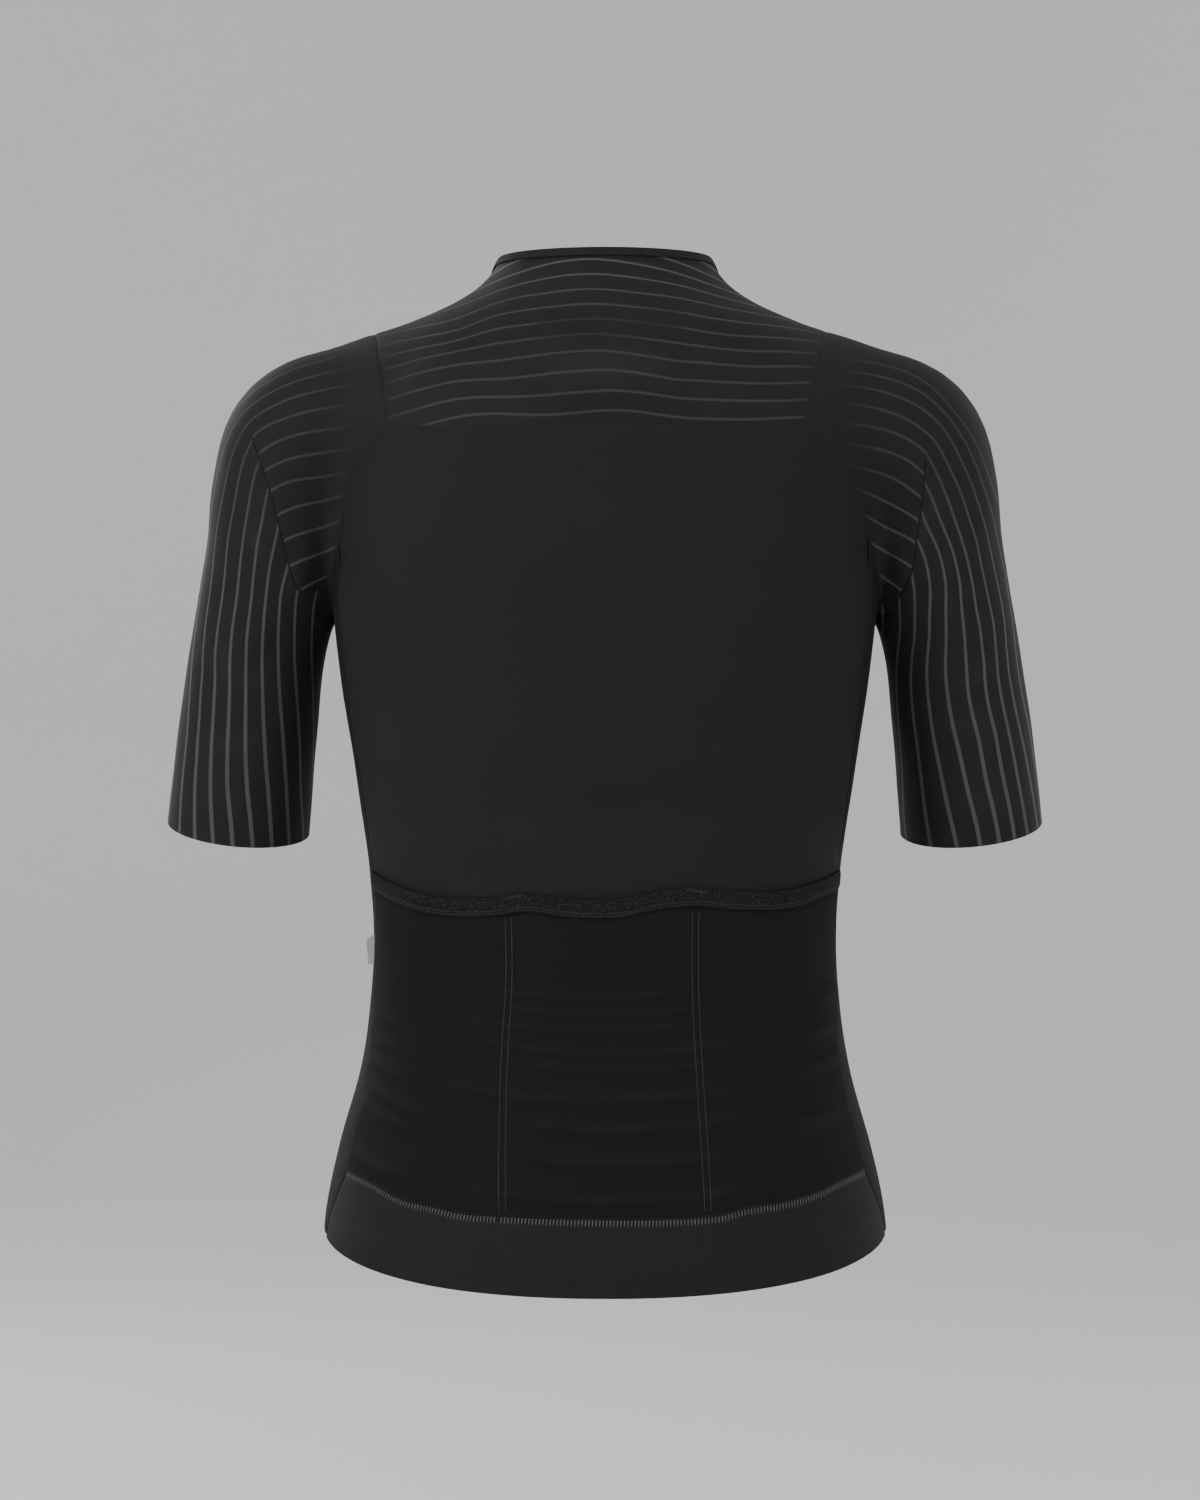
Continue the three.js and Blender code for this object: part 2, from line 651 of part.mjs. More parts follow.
// Swings a point round the armpit from the armhole to the first ring of the sleeve
function swing(from, to, share, sign) {
  const pivot = { x: ARMPIT.x * sign, z: ARMPIT.z };
  const polar = (p) => ({
    angle: Math.atan2(p.z - pivot.z, (p.x - pivot.x) * sign),
    reach: Math.hypot(p.x - pivot.x, p.z - pivot.z),
  });
  const a = polar(from);
  const b = polar(to);
  if (b.angle > a.angle) b.angle -= 2 * Math.PI;
  const angle = mix(a.angle, b.angle, share);
  const reach = mix(a.reach, b.reach, share);
  return new THREE.Vector3(
    pivot.x + sign * reach * Math.cos(angle),
    mix(from.y, to.y, share),
    pivot.z + reach * Math.sin(angle),
  );
}

// Sleeve in one piece with the shoulder, from the armhole round to the raw-cut cuff
function sleeve(lines, sign) {
  const hole = join(lines.yokeSide, lines.raglan, lines.underarmBack, lines.underarmFront,
    lines.armholeFront).slice(0, -1);
  const count = hole.length;
  const half = CUT.yokeSide + CUT.raglan + CUT.underarm;
  const first = Math.PI - (half / count) * 2 * Math.PI;
  const ring = sleeveRing(ELBOW_RING_STATION, sign, count, first);
  const rows = [];
  for (let j = 0; j <= CAP_ROWS; j += 1) {
    rows.push(hole.map((p, i) => settle(swing(p, ring[i], j / CAP_ROWS, sign))));
  }
  rows[0] = hole.map((p) => p.clone());
  for (let j = 1; j <= SLEEVE_RINGS; j += 1) {
    const station = mix(ELBOW_RING_STATION, CUFF_STATION, j / SLEEVE_RINGS);
    rows.push(sleeveRing(station, sign, count, first));
  }
  return clothWall(trim(rows, true), { closed: true });
}

// Narrow binding that folds over the neck edge
function collarBinding() {
  const steps = CUT.collar;
  const turns = Array.from({ length: steps + 1 }, (_, i) => mix(ZIP_TURN, -ZIP_TURN, i / steps));
  const top = turns.map((turn) => neckEdge(turn));
  const foot = shiftDown(top, BINDING_HEIGHT);
  const rows = sheet(top, foot, [top[0], foot[0]], [top[steps], foot[steps]]);
  return clothWall(rows, {
    height: () => BINDING_LIFT + BINDING_WALL,
    wall: BINDING_WALL,
  });
}

// Half of the zip's tape, between the cloth and the teeth
function zipTape(sign) {
  const steps = CUT.armholeFront + CUT.side + CUT.bandSide;
  const outer = zipEdge(sign * (ZIP_HALF - 2 * SEAM_INSET), NECK_FRONT_Z, steps);
  const inner = zipEdge(sign * TAPE_INNER, NECK_FRONT_Z, steps);
  const rows = outer.map((p, i) => [p, inner[i]]);
  return clothWall(rows);
}

// Points down the centre front at one distance from the middle, from a height to the hem
function zipEdge(x, top, steps) {
  const foot = hemPoint(beside(x, HEM_SIDE_Z));
  return Array.from({ length: steps + 1 }, (_, i) => beside(x, mix(top, foot.z, i / steps)));
}

// The closed teeth, as one strip
function zipChain() {
  const steps = CUT.armholeFront + CUT.side + CUT.bandSide;
  const one = zipEdge(CHAIN_HALF, CHAIN_TOP_Z, steps);
  const other = zipEdge(-CHAIN_HALF, CHAIN_TOP_Z, steps);
  const rows = one.map((p, i) => [p, other[i]]);
  return clothWall(rows, { height: () => CHAIN_PROUD, wall: CHAIN_DEPTH });
}

const wasm = await Module();
wasm.setup();

function asManifold(geometry) {
  const bare = geometry.clone();
  bare.deleteAttribute("normal");
  bare.deleteAttribute("uv");
  const merged = BufferGeometryUtils.mergeVertices(bare, 1e-5);
  return new wasm.Manifold(new wasm.Mesh({
    numProp: 3,
    vertProperties: new Float32Array(merged.getAttribute("position").array),
    triVerts: new Uint32Array(merged.getIndex().array),
  }));
}

function asGeometry(body) {
  const mesh = body.getMesh();
  const geometry = new THREE.BufferGeometry();
  geometry.setAttribute("position", new THREE.BufferAttribute(mesh.vertProperties, 3));
  geometry.setIndex(new THREE.BufferAttribute(mesh.triVerts, 1));
  geometry.computeVertexNormals();
  return geometry;
}

// Height of the pull's hinge, and how far in front of the origin its axis lies
const SLIDER_FOOT_Z = SLIDER_TOP_Z - SLIDER_LENGTH;
const HINGE_Z = SLIDER_TOP_Z - SLIDER_LENGTH / 2;
const SLIDER_BACK_Y = beside(0, SLIDER_FOOT_Z).y - CHAIN_PROUD - SLIDER_GAP;
const SLIDER_FACE_Y = SLIDER_BACK_Y - SLIDER_PLATE;
const HINGE_Y = SLIDER_FACE_Y - EYE_RADIUS;

// Zip slider: a tapered plate over the teeth with a round bridge that holds the pull
function zipSlider() {
  const wide = SLIDER_WIDTH / 2;
  const narrow = SLIDER_FOOT_WIDTH / 2;
  const corner = 1;
  const outline = new THREE.Shape();
  outline.moveTo(-narrow, 0);
  outline.lineTo(narrow, 0);
  outline.lineTo(wide, SLIDER_LENGTH * 0.6);
  outline.lineTo(wide, SLIDER_LENGTH - corner);
  outline.lineTo(wide - corner, SLIDER_LENGTH);
  outline.lineTo(corner - wide, SLIDER_LENGTH);
  outline.lineTo(-wide, SLIDER_LENGTH - corner);
  outline.lineTo(-wide, SLIDER_LENGTH * 0.6);
  const plate = new THREE.ExtrudeGeometry(outline, { depth: SLIDER_PLATE, bevelEnabled: false });
  plate.rotateX(Math.PI / 2);
  plate.translate(0, SLIDER_BACK_Y, SLIDER_FOOT_Z);

  const outer = EYE_RADIUS + BRIDGE_THICK;
  const sunk = 0.4;
  const arch = new THREE.Shape();
  arch.moveTo(-outer, -sunk);
  arch.lineTo(outer, -sunk);
  arch.absarc(0, EYE_RADIUS, outer, 0, Math.PI, false);
  const hole = new THREE.Path();
  hole.moveTo(-EYE_RADIUS, 0);
  hole.lineTo(EYE_RADIUS, 0);
  hole.absarc(0, EYE_RADIUS, EYE_RADIUS, 0, Math.PI, false);
  arch.holes.push(hole);
  const bridge = new THREE.ExtrudeGeometry(arch, {
    depth: BRIDGE_WIDTH, bevelEnabled: false, curveSegments: 8,
  });
  bridge.translate(0, 0, -BRIDGE_WIDTH / 2);
  const turn = new THREE.Matrix4().set(
    0, 0, -1, 0,
    0, -1, 0, SLIDER_FACE_Y,
    -1, 0, 0, HINGE_Z,
    0, 0, 0, 1,
  );
  bridge.applyMatrix4(turn);
  return asGeometry(asManifold(plate).add(asManifold(bridge)));
}

// Pull tab: a flat tongue whose eye goes round the slider's bridge
function zipPull() {
  const half = PULL_WIDTH / 2;
  const bar = PULL_THICK / 2;
  const foot = half * 0.55;
  const shoulder = -PULL_EYE_DEPTH - 2 * PULL_THICK;
  const outline = new THREE.Shape();
  outline.moveTo(-half, bar);
  outline.lineTo(-half, shoulder);
  outline.lineTo(-foot, -PULL_LENGTH * 0.55);
  outline.absarc(0, -PULL_LENGTH + half, half, Math.PI, 2 * Math.PI, false);
  outline.lineTo(foot, -PULL_LENGTH * 0.55);
  outline.lineTo(half, shoulder);
  outline.lineTo(half, bar);
  const eye = new THREE.Path();
  eye.moveTo(-PULL_EYE_HALF, -bar);
  eye.lineTo(PULL_EYE_HALF, -bar);
  eye.lineTo(PULL_EYE_HALF, -bar - PULL_EYE_DEPTH);
  eye.lineTo(-PULL_EYE_HALF, -bar - PULL_EYE_DEPTH);
  outline.holes.push(eye);
  const tongue = new THREE.ExtrudeGeometry(outline, {
    depth: PULL_THICK, bevelEnabled: false, curveSegments: 8,
  });
  tongue.rotateX(Math.PI / 2);
  tongue.translate(0, HINGE_Y + bar, HINGE_Z);
  return asGeometry(asManifold(tongue));
}

// Folded ribbon label in the left side seam, standing a little off the cloth
function sideLabel() {
  const rows = [];
  for (let j = 0; j <= LABEL_ROWS; j += 1) {
    const down = j / LABEL_ROWS;
    const row = [];
    for (let i = 0; i <= LABEL_COLUMNS; i += 1) {
      const share = i / LABEL_COLUMNS;
      const z = LABEL_TOP_Z - LABEL_HEIGHT * down - LABEL_SLANT * share * (1 - down);
      row.push(round(LABEL_TURN + LABEL_SPAN * share, z));
    }
    rows.push(row);
  }
  const share = (p) => {
    const turn = THREE.MathUtils.radToDeg(Math.atan2(p.x, p.y));
    return clamp((turn - LABEL_TURN) / LABEL_SPAN, 0, 1);
  };
  return clothWall(rows, {
    height: (p) => LABEL_WALL + LABEL_LIFT + LABEL_STAND * share(p),
    wall: LABEL_WALL,
  });
}

addPiece("back_yoke", backYoke(), stripedCloth);
addPiece("back_panel", backPanel(), bodyCloth);
addPiece("pocket_panel", pocketPanel(), pocketCloth);
addPiece("pocket_binding", pocketBinding(), elasticCloth);
addPiece("back_hem_band", backHemBand(), elasticCloth);
addPiece("side_panel_left", sidePanel(left), bodyCloth);
addPiece("side_panel_right", sidePanel(right), bodyCloth);
addPiece("front_left", frontHalf(left, 1), bodyCloth);
addPiece("front_right", frontHalf(right, -1), bodyCloth);
addPiece("sleeve_left", sleeve(left, 1), stripedCloth);
addPiece("sleeve_right", sleeve(right, -1), stripedCloth);
addPiece("collar_binding", collarBinding(), elasticCloth);
addPiece("zip_tape_left", zipTape(1), tapeCloth);
addPiece("zip_tape_right", zipTape(-1), tapeCloth);
addPiece("zip_chain", zipChain(), zipPlastic);
addPiece("zip_slider", zipSlider(), sliderMetal);
addPiece("zip_pull", zipPull(), sliderMetal);
addPiece("side_label", sideLabel(), labelCloth);

export default jersey;
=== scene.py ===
"""Short-sleeved cycling jersey, seen from behind and filled out as it is worn.

The sections follow the jersey as it is cut and sewn. Lengths in the tables are millimetres
in the part's own frame; every mesh is made in metres.
"""
import math
import bpy
import numpy as np
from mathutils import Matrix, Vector
from mathutils.bvhtree import BVHTree


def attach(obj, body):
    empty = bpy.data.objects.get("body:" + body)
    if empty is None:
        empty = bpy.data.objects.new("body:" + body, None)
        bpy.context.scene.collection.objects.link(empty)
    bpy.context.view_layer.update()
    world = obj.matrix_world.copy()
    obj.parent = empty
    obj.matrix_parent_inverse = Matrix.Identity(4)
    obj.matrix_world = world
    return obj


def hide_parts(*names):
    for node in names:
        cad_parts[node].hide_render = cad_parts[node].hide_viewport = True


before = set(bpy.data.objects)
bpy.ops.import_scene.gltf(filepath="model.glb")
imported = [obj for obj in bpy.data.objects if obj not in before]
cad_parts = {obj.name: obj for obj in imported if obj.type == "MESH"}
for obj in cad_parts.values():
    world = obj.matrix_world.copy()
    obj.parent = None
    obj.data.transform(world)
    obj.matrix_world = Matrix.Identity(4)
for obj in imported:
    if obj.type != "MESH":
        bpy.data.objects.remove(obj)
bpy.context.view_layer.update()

# Back yoke: striped stretch knit over the shoulder blades, with the back of the grown-on collar
# in one piece. Its curved foot is seamed to the back panel, its sides to the sleeves. The form
# below is the wearer's: level rings for the trunk that run softly into a tube for each arm.
TRUNK_RINGS = np.array([  # height, half width, depth in front, depth behind, squareness
    [-630, 172, 108, 121, 2.2], [-564, 171, 110, 121, 2.2], [-515, 162, 108, 114, 2.2],
    [-467, 148.5, 104, 102, 2.2], [-418, 142, 99, 92, 2.2], [-381, 141, 97, 88, 2.2],
    [-345, 143.5, 99, 89, 2.2], [-300, 150, 105, 94, 2.2], [-235, 160, 119, 103, 2.2],
    [-190, 165, 125, 108, 2.3], [-150, 165, 116, 111, 2.3], [-100, 162, 92, 108, 2.3],
    [-80, 160, 79, 104, 2.25], [-62, 157, 68.5, 99, 2.2], [-42, 150, 66.5, 91, 2.1],
    [-27, 138, 66, 84, 2.0], [-15, 117, 65, 76, 2.0], [-3, 92, 63, 67, 2.0],
    [9, 75, 60, 58, 2.0], [24, 65, 55, 50, 2.0], [60, 60, 48, 44, 2.0]], float)
SLEEVE_TUBE = np.array([  # station, centre x, y, z and radius, on the wearer's left
    [0, 110, 0, -74, 42], [1, 152, -1, -75, 46], [2, 181, -2, -88, 49],
    [3, 192, -5, -116, 47.5], [4, 199, -10, -155, 45], [5, 212, -19, -205, 41.4],
    [6, 220.8, -31, -262, 42.8], [7, 229, -48, -331, 44.3], [8, 233.5, -60, -375, 45.5]], float)
RUN_TOGETHER = np.array([  # height, and how softly trunk and tube run together there
    [-200, 5], [-150, 14], [-80, 26], [-40, 26]], float)
LAST_STATION, TUBE_STEPS = 8, 48
NEAR_ARM_X, NEAR_ARM_Z = 60, -420


def read_table(rows, at):
    """Reads a table smoothly between the values of its first column."""
    keys, values = rows[:, 0], rows[:, 1:]
    slopes = np.empty_like(values)
    slopes[1:-1] = (values[2:] - values[:-2]) / (keys[2:] - keys[:-2])[:, None]
    slopes[0] = (values[1] - values[0]) / (keys[1] - keys[0])
    slopes[-1] = (values[-1] - values[-2]) / (keys[-1] - keys[-2])
    at = np.clip(at, keys[0], keys[-1])
    i = np.clip(np.searchsorted(keys, at) - 1, 0, len(keys) - 2)
    gap = (keys[i + 1] - keys[i])[..., None]
    t = (at - keys[i])[..., None] / gap
    rise = 3 * t ** 2 - 2 * t ** 3
    turn = (t ** 3 - 2 * t ** 2 + t) * slopes[i] + (t ** 3 - t ** 2) * slopes[i + 1]
    return (1 - rise) * values[i] + rise * values[i + 1] + gap * turn


TUBE = read_table(SLEEVE_TUBE, np.linspace(0, LAST_STATION, TUBE_STEPS + 1))


def ring_reach(cosine, sine, z):
    """Distance from the centre line to the trunk's ring in one level direction."""
    ring = read_table(TRUNK_RINGS, z)
    depth = np.where(sine < 0, ring[..., 1], ring[..., 2])
    square = ring[..., 3]
    total = (np.abs(cosine) / ring[..., 0]) ** square + (np.abs(sine) / depth) ** square
    return total ** (-1 / square)


def trunk_gap(p):
    """Distance of points to the trunk alone."""
    out = np.hypot(p[..., 0], p[..., 1]) + 1e-9
    cosine, sine, z = p[..., 0] / out, p[..., 1] / out, p[..., 2]
    lean = (ring_reach(cosine, sine, z + 2) - ring_reach(cosine, sine, z - 2)) / 4
    return (out - ring_reach(cosine, sine, z)) / np.sqrt(1 + lean ** 2)


def sleeve_gap(p):
    """Distance to the sleeve's tube, with the station along it of the nearest point."""
    q = np.array(p, float)
    q[..., 0] = np.abs(q[..., 0])
    best = np.full(q.shape[:-1], 1e9)
    station = np.zeros(q.shape[:-1])
    for k in range(TUBE_STEPS):
        start, along = TUBE[k, :3], TUBE[k + 1, :3] - TUBE[k, :3]
        share = np.clip((q - start) @ along / (along @ along), 0, 1)
        away = np.linalg.norm(q - start - share[..., None] * along, axis=-1)
        gap = away - TUBE[k, 3] - share * (TUBE[k + 1, 3] - TUBE[k, 3])
        station = np.where(gap < best, (k + share) * LAST_STATION / TUBE_STEPS, station)
        best = np.minimum(best, gap)
    return best, station


def form_gap(p):
    """How far points stand off the smooth form of the cloth."""
    trunk = trunk_gap(p)
    gap = trunk.copy()
    near = (np.abs(p[..., 0]) > NEAR_ARM_X) & (p[..., 2] > NEAR_ARM_Z)
    if near.any():
        sleeve = sleeve_gap(p[near])[0]
        soft = np.interp(p[near][..., 2], RUN_TOGETHER[:, 0], RUN_TOGETHER[:, 1])
        close = np.maximum(soft - np.abs(trunk[near] - sleeve), 0) / soft
        gap[near] = np.minimum(trunk[near], sleeve) - close ** 2 * soft / 4
    return gap


def form_normal(p):
    """The form's outward way at each point."""
    slope = np.stack([form_gap(p + step) - form_gap(p - step) for step in np.eye(3) * 0.5], -1)
    return slope / np.linalg.norm(slope, axis=-1, keepdims=True)


def settle(p, height=0.0):
    """Brings points on to the form, or to a height above it."""
    p = np.array(p, float)
    for _ in range(4):
        normal = form_normal(p)
        p -= (form_gap(p) - height)[..., None] * normal
    return p


def smooth_line(places, shares):
    """Points at the given shares of the length of a smooth line through some places."""
    places = np.asarray(places, float)
    ends = 2 * places[0] - places[1], 2 * places[-1] - places[-2]
    q = np.vstack([ends[0], places, ends[1]])
    knots = np.append(0, np.cumsum(np.linalg.norm(np.diff(q, axis=0), axis=1) ** 0.5))
    dense = []
    for k in range(1, len(q) - 2):
        t0, t1, t2, t3 = knots[k - 1:k + 3]
        t = np.linspace(t1, t2, 24, endpoint=False)[:, None]
        a = q[k - 1] + (q[k] - q[k - 1]) * (t - t0) / (t1 - t0)
        b = q[k] + (q[k + 1] - q[k]) * (t - t1) / (t2 - t1)
        c = q[k + 1] + (q[k + 2] - q[k + 1]) * (t - t2) / (t3 - t2)
        ab = a + (b - a) * (t - t0) / (t2 - t0)
        bc = b + (c - b) * (t - t1) / (t3 - t1)
        dense.append(ab + (bc - ab) * (t - t1) / (t2 - t1))
    dense = np.vstack(dense + [q[-2:-1]])
    length = np.append(0, np.cumsum(np.linalg.norm(np.diff(dense, axis=0), axis=1)))
    at = np.asarray(shares) * length[-1]
    return np.stack([np.interp(at, length, dense[:, axis]) for axis in range(3)], -1)


def seam(places, shares):
    """A seam: a smooth line through its places, brought on to the form."""
    return settle(smooth_line(places, shares))


SEAM_STEPS = np.array([0, 0.55, 1.2, 2.1, 3.4])


def close_steps(length, step):
    """Shares of a length in even steps, drawn closer together at both ends for the seams."""
    edge = SEAM_STEPS / length
    count = max(2, round((length - 2 * SEAM_STEPS[-1]) / step))
    return np.concatenate([edge[:-1], np.linspace(edge[-1], 1 - edge[-1], count), 1 - edge[-2::-1]])


def even_steps(count):
    return np.linspace(0, 1, count + 1)


def round_body(turn, z):
    """Places on the trunk by their turn from the centre back in degrees, left first, and height."""
    turn, z = np.broadcast_arrays(np.radians(turn), np.asarray(z, float))
    reach = ring_reach(np.sin(turn), np.cos(turn), z)
    return settle(np.stack([np.sin(turn) * reach, np.cos(turn) * reach, z], -1))


def ease(value):
    """A soft start and end for a share held between 0 and 1."""
    value = np.clip(value, 0, 1)
    return value ** 2 * (3 - 2 * value)


COLLAR_TOP, COLLAR_DROP = 24, 51
DROP_TURN = 75


def neck_edge(turn):
    """The edge of the low collar: level round the back, dropping to the top of the zip."""
    return round_body(turn, COLLAR_TOP - COLLAR_DROP * ease(
        (np.abs(turn) - DROP_TURN) / (180 - DROP_TURN)))


def sheet_between(top, foot, left, right, u, v):
    """A sheet of points between four edges, brought on to the form."""
    u, v = u[None, :, None], v[:, None, None]
    rows = top[None] * (1 - v) + foot[None] * v + left[:, None] * (1 - u) + right[:, None] * u
    rows -= top[0] * (1 - u) * (1 - v) + top[-1] * u * (1 - v)
    rows -= foot[0] * (1 - u) * v + foot[-1] * u * v
    return settle(rows)


def lengths(rows):
    """Distances over the cloth in metres, across from the middle column and down from the top."""
    across = np.cumsum(np.linalg.norm(np.diff(rows, axis=1, prepend=rows[:, :1]), axis=-1), 1)
    down = np.cumsum(np.linalg.norm(np.diff(rows, axis=0, prepend=rows[:1]), axis=-1), 0)
    across -= across[:, across.shape[1] // 2][:, None]
    return across / 1000, down / 1000


def edge_distance(rows, sides="tblr"):
    """Distance over the cloth to the nearest of its named edges: top, bottom, left, right."""
    across = np.cumsum(np.linalg.norm(np.diff(rows, axis=1, prepend=rows[:, :1]), axis=-1), 1)
    down = np.cumsum(np.linalg.norm(np.diff(rows, axis=0, prepend=rows[:1]), axis=-1), 0)
    ways = {"t": down, "b": down[-1:] - down, "l": across, "r": across[:, -1:] - across}
    return np.minimum.reduce([ways[side] for side in sides])


def seam_dip(away, depth=0.45, wide=1.7):
    """The shallow groove that a seam draws into the cloth beside it."""
    return -depth * np.exp(-(away / wide) ** 2)


def folds(p, normal, rows):
    """Height of listed folds. Each row has the side (+1 back, -1 front), the places
    (x, z) along the fold, its half width and how far it stands out, or in where below 0."""
    height = np.zeros(p.shape[:-1])
    flat = p[..., ::2]
    for side, places, wide, out in rows:
        reach = 4 * wide
        low, high = np.min(places, 0) - reach, np.max(places, 0) + reach
        near = np.all((flat > low) & (flat < high), axis=-1) & (normal[..., 1] * side > 0)
        if not near.any():
            continue
        spots = [(x, 0, z) for x, z in places]
        line = smooth_line(spots, even_steps(14))[:, ::2] if len(spots) > 2 else \
            np.array(places, float)
        here = flat[near]
        best = np.full(len(here), 1e9)
        share = np.zeros(len(here))
        sign = np.zeros(len(here))
        for k in range(len(line) - 1):
            way = line[k + 1] - line[k]
            on = np.clip((here - line[k]) @ way / (way @ way), 0, 1)
            off = here - line[k] - on[:, None] * way
            away = np.linalg.norm(off, axis=1)
            closer = away < best
            best = np.where(closer, away, best)
            share = np.where(closer, (k + on) / (len(line) - 1), share)
            sign = np.where(closer, np.sign(way[0] * off[:, 1] - way[1] * off[:, 0]), sign)
        taper = np.clip(4 * share * (1 - share), 0, 1) ** 0.6
        beside = best * sign - 1.8 * wide
        shape = np.exp(-(best / wide) ** 2) - 0.4 * np.exp(-(beside / (1.1 * wide)) ** 2)
        facing = np.clip(normal[near][:, 1] * side / 0.3, 0, 1)
        height[near] += out * taper * shape * facing
    return height


RIPPLE_SEED, RIPPLE_WAVES, RIPPLE_LENGTHS = 11, 7, (38, 95)


def ripple(p, size):
    """Slow unevenness of soft cloth over its form, of about one millimetre for size 1."""
    draw = np.random.default_rng(RIPPLE_SEED)
    height = np.zeros(p.shape[:-1])
    for _ in range(RIPPLE_WAVES):
        way = draw.normal(size=3)
        way *= 2 * math.pi / (np.linalg.norm(way) * draw.uniform(*RIPPLE_LENGTHS))
        height += np.sin(p @ way + draw.uniform(0, 6.28)) / RIPPLE_WAVES
    return height * size


def flat_mesh(name, points, faces, material):
    """A mesh of four-cornered faces in metres, smooth all over."""
    mesh = bpy.data.meshes.new(name)
    mesh.vertices.add(len(points))
    mesh.vertices.foreach_set("co", (points / 1000).astype(np.float32).ravel())
    mesh.loops.add(faces.size)
    mesh.loops.foreach_set("vertex_index", faces.astype(np.int32).ravel())
    mesh.polygons.add(len(faces))
    mesh.polygons.foreach_set("loop_start", np.arange(0, faces.size, 4, dtype=np.int32))
    mesh.update(calc_edges=True)
    mesh.polygons.foreach_set("use_smooth", np.ones(len(faces), bool))
    mesh.materials.append(material)
    piece = bpy.data.objects.new(name, mesh)
    bpy.context.scene.collection.objects.link(piece)
    return piece


CLOTH = 1.2
EDGE_ROUND = 0.22, 0.3


def cloth_wall(name, sheet, normal, height, material, marks=None, wall=CLOTH, ring=False):
    """A thin closed wall, its outside a height above a sheet of points, with rounded edges.
    marks are further values that its pattern reads."""
    outer = sheet + normal * np.asarray(height)[..., None]
    rows, columns = outer.shape[:2]
    index = np.arange(rows * columns).reshape(rows, columns)
    across = np.concatenate([index, index[:, :1]], 1) if ring else index
    corners = [across[:-1, :-1], across[1:, :-1], across[1:, 1:], across[:-1, 1:]]
    top = np.stack(corners, -1).reshape(-1, 4)
    points = outer.reshape(-1, 3)
    facing = normal.reshape(-1, 3)
    first = points[top[:, 1]] - points[top[:, 0]]
    second = points[top[:, 3]] - points[top[:, 0]]
    turned = np.sum(np.cross(first, second) * facing[top[:, 0]]) < 0
    inner = points - facing * wall
    if ring:
        rims = [(index[0], index[1]), (index[-1][::-1], index[-2][::-1])]
    else:
        rim = np.concatenate([index[0, :-1], index[:-1, -1], index[-1, :0:-1], index[:0:-1, 0]])
        j, i = rim // columns, rim % columns
        rims = [(rim, np.clip(j, 1, rows - 2) * columns + np.clip(i, 1, columns - 2))]
    count = len(points)
    sources = [np.arange(count), np.arange(count)]
    all_points, faces = [points, inner], [top, top[:, ::-1] + count]
    base = 2 * count
    bulge = min(EDGE_ROUND[0] * wall, EDGE_ROUND[1])
    for rim, near in rims:
        away = points[rim] - points[near]
        away /= np.linalg.norm(away, axis=1, keepdims=True)
        all_points.append((points[rim] + inner[rim]) / 2 + away * bulge)
        sources.append(rim)
        middle = base + np.arange(len(rim))
        after = np.roll(middle, -1)
        faces.append(np.stack([rim, np.roll(rim, -1), after, middle], -1))
        faces.append(np.stack([middle, after, np.roll(rim, -1) + count, rim + count], -1))
        base += len(rim)
    faces = np.vstack(faces)
    if turned:
        faces = faces[:, ::-1]
    piece = flat_mesh(name, np.vstack(all_points), faces, material)
    source = np.concatenate(sources)
    across, down = lengths(outer)
    flat = np.stack([across.ravel(), down.ravel()], -1)[source]
    layer = piece.data.uv_layers.new(name="cloth")
    layer.data.foreach_set("uv", flat[faces.ravel()].astype(np.float32).ravel())
    for mark, values in (marks or {}).items():
        layer = piece.data.attributes.new(mark, "FLOAT", "POINT")
        layer.data.foreach_set("value", values.ravel()[source].astype(np.float32))
    return piece


class Shade:
    """A socket of a finish's node tree that takes part in sums, so 1 - mask adds its own node."""

    def __init__(self, finish, socket):
        self.finish, self.socket = finish, socket

    def sum(self, operation, first, second=0.0):
        return self.finish.node("ShaderNodeMath", {"operation": operation}, {0: first, 1: second})

    def __add__(self, other):
        return self.sum("ADD", self, other)

    __radd__ = __add__

    def __mul__(self, other):
        return self.sum("MULTIPLY", self, other)

    __rmul__ = __mul__

    def __sub__(self, other):
        return self.sum("SUBTRACT", self, other)

    def __rsub__(self, other):
        return self.sum("SUBTRACT", other, self)

    def __truediv__(self, other):
        return self.sum("DIVIDE", self, other)

    def __gt__(self, other):
        return self.sum("GREATER_THAN", self, other)

    def cut(self):
        """The value held between 0 and 1."""
        return self.sum("MINIMUM", self.sum("MAXIMUM", self, 0.0), 1.0)

    def size(self):
        return self.sum("ABSOLUTE", self)

    def wave(self):
        return self.sum("SINE", self)

    def off_whole(self):
        """Distance to the nearest whole number."""
        return self.sum("PINGPONG", self, 0.5)


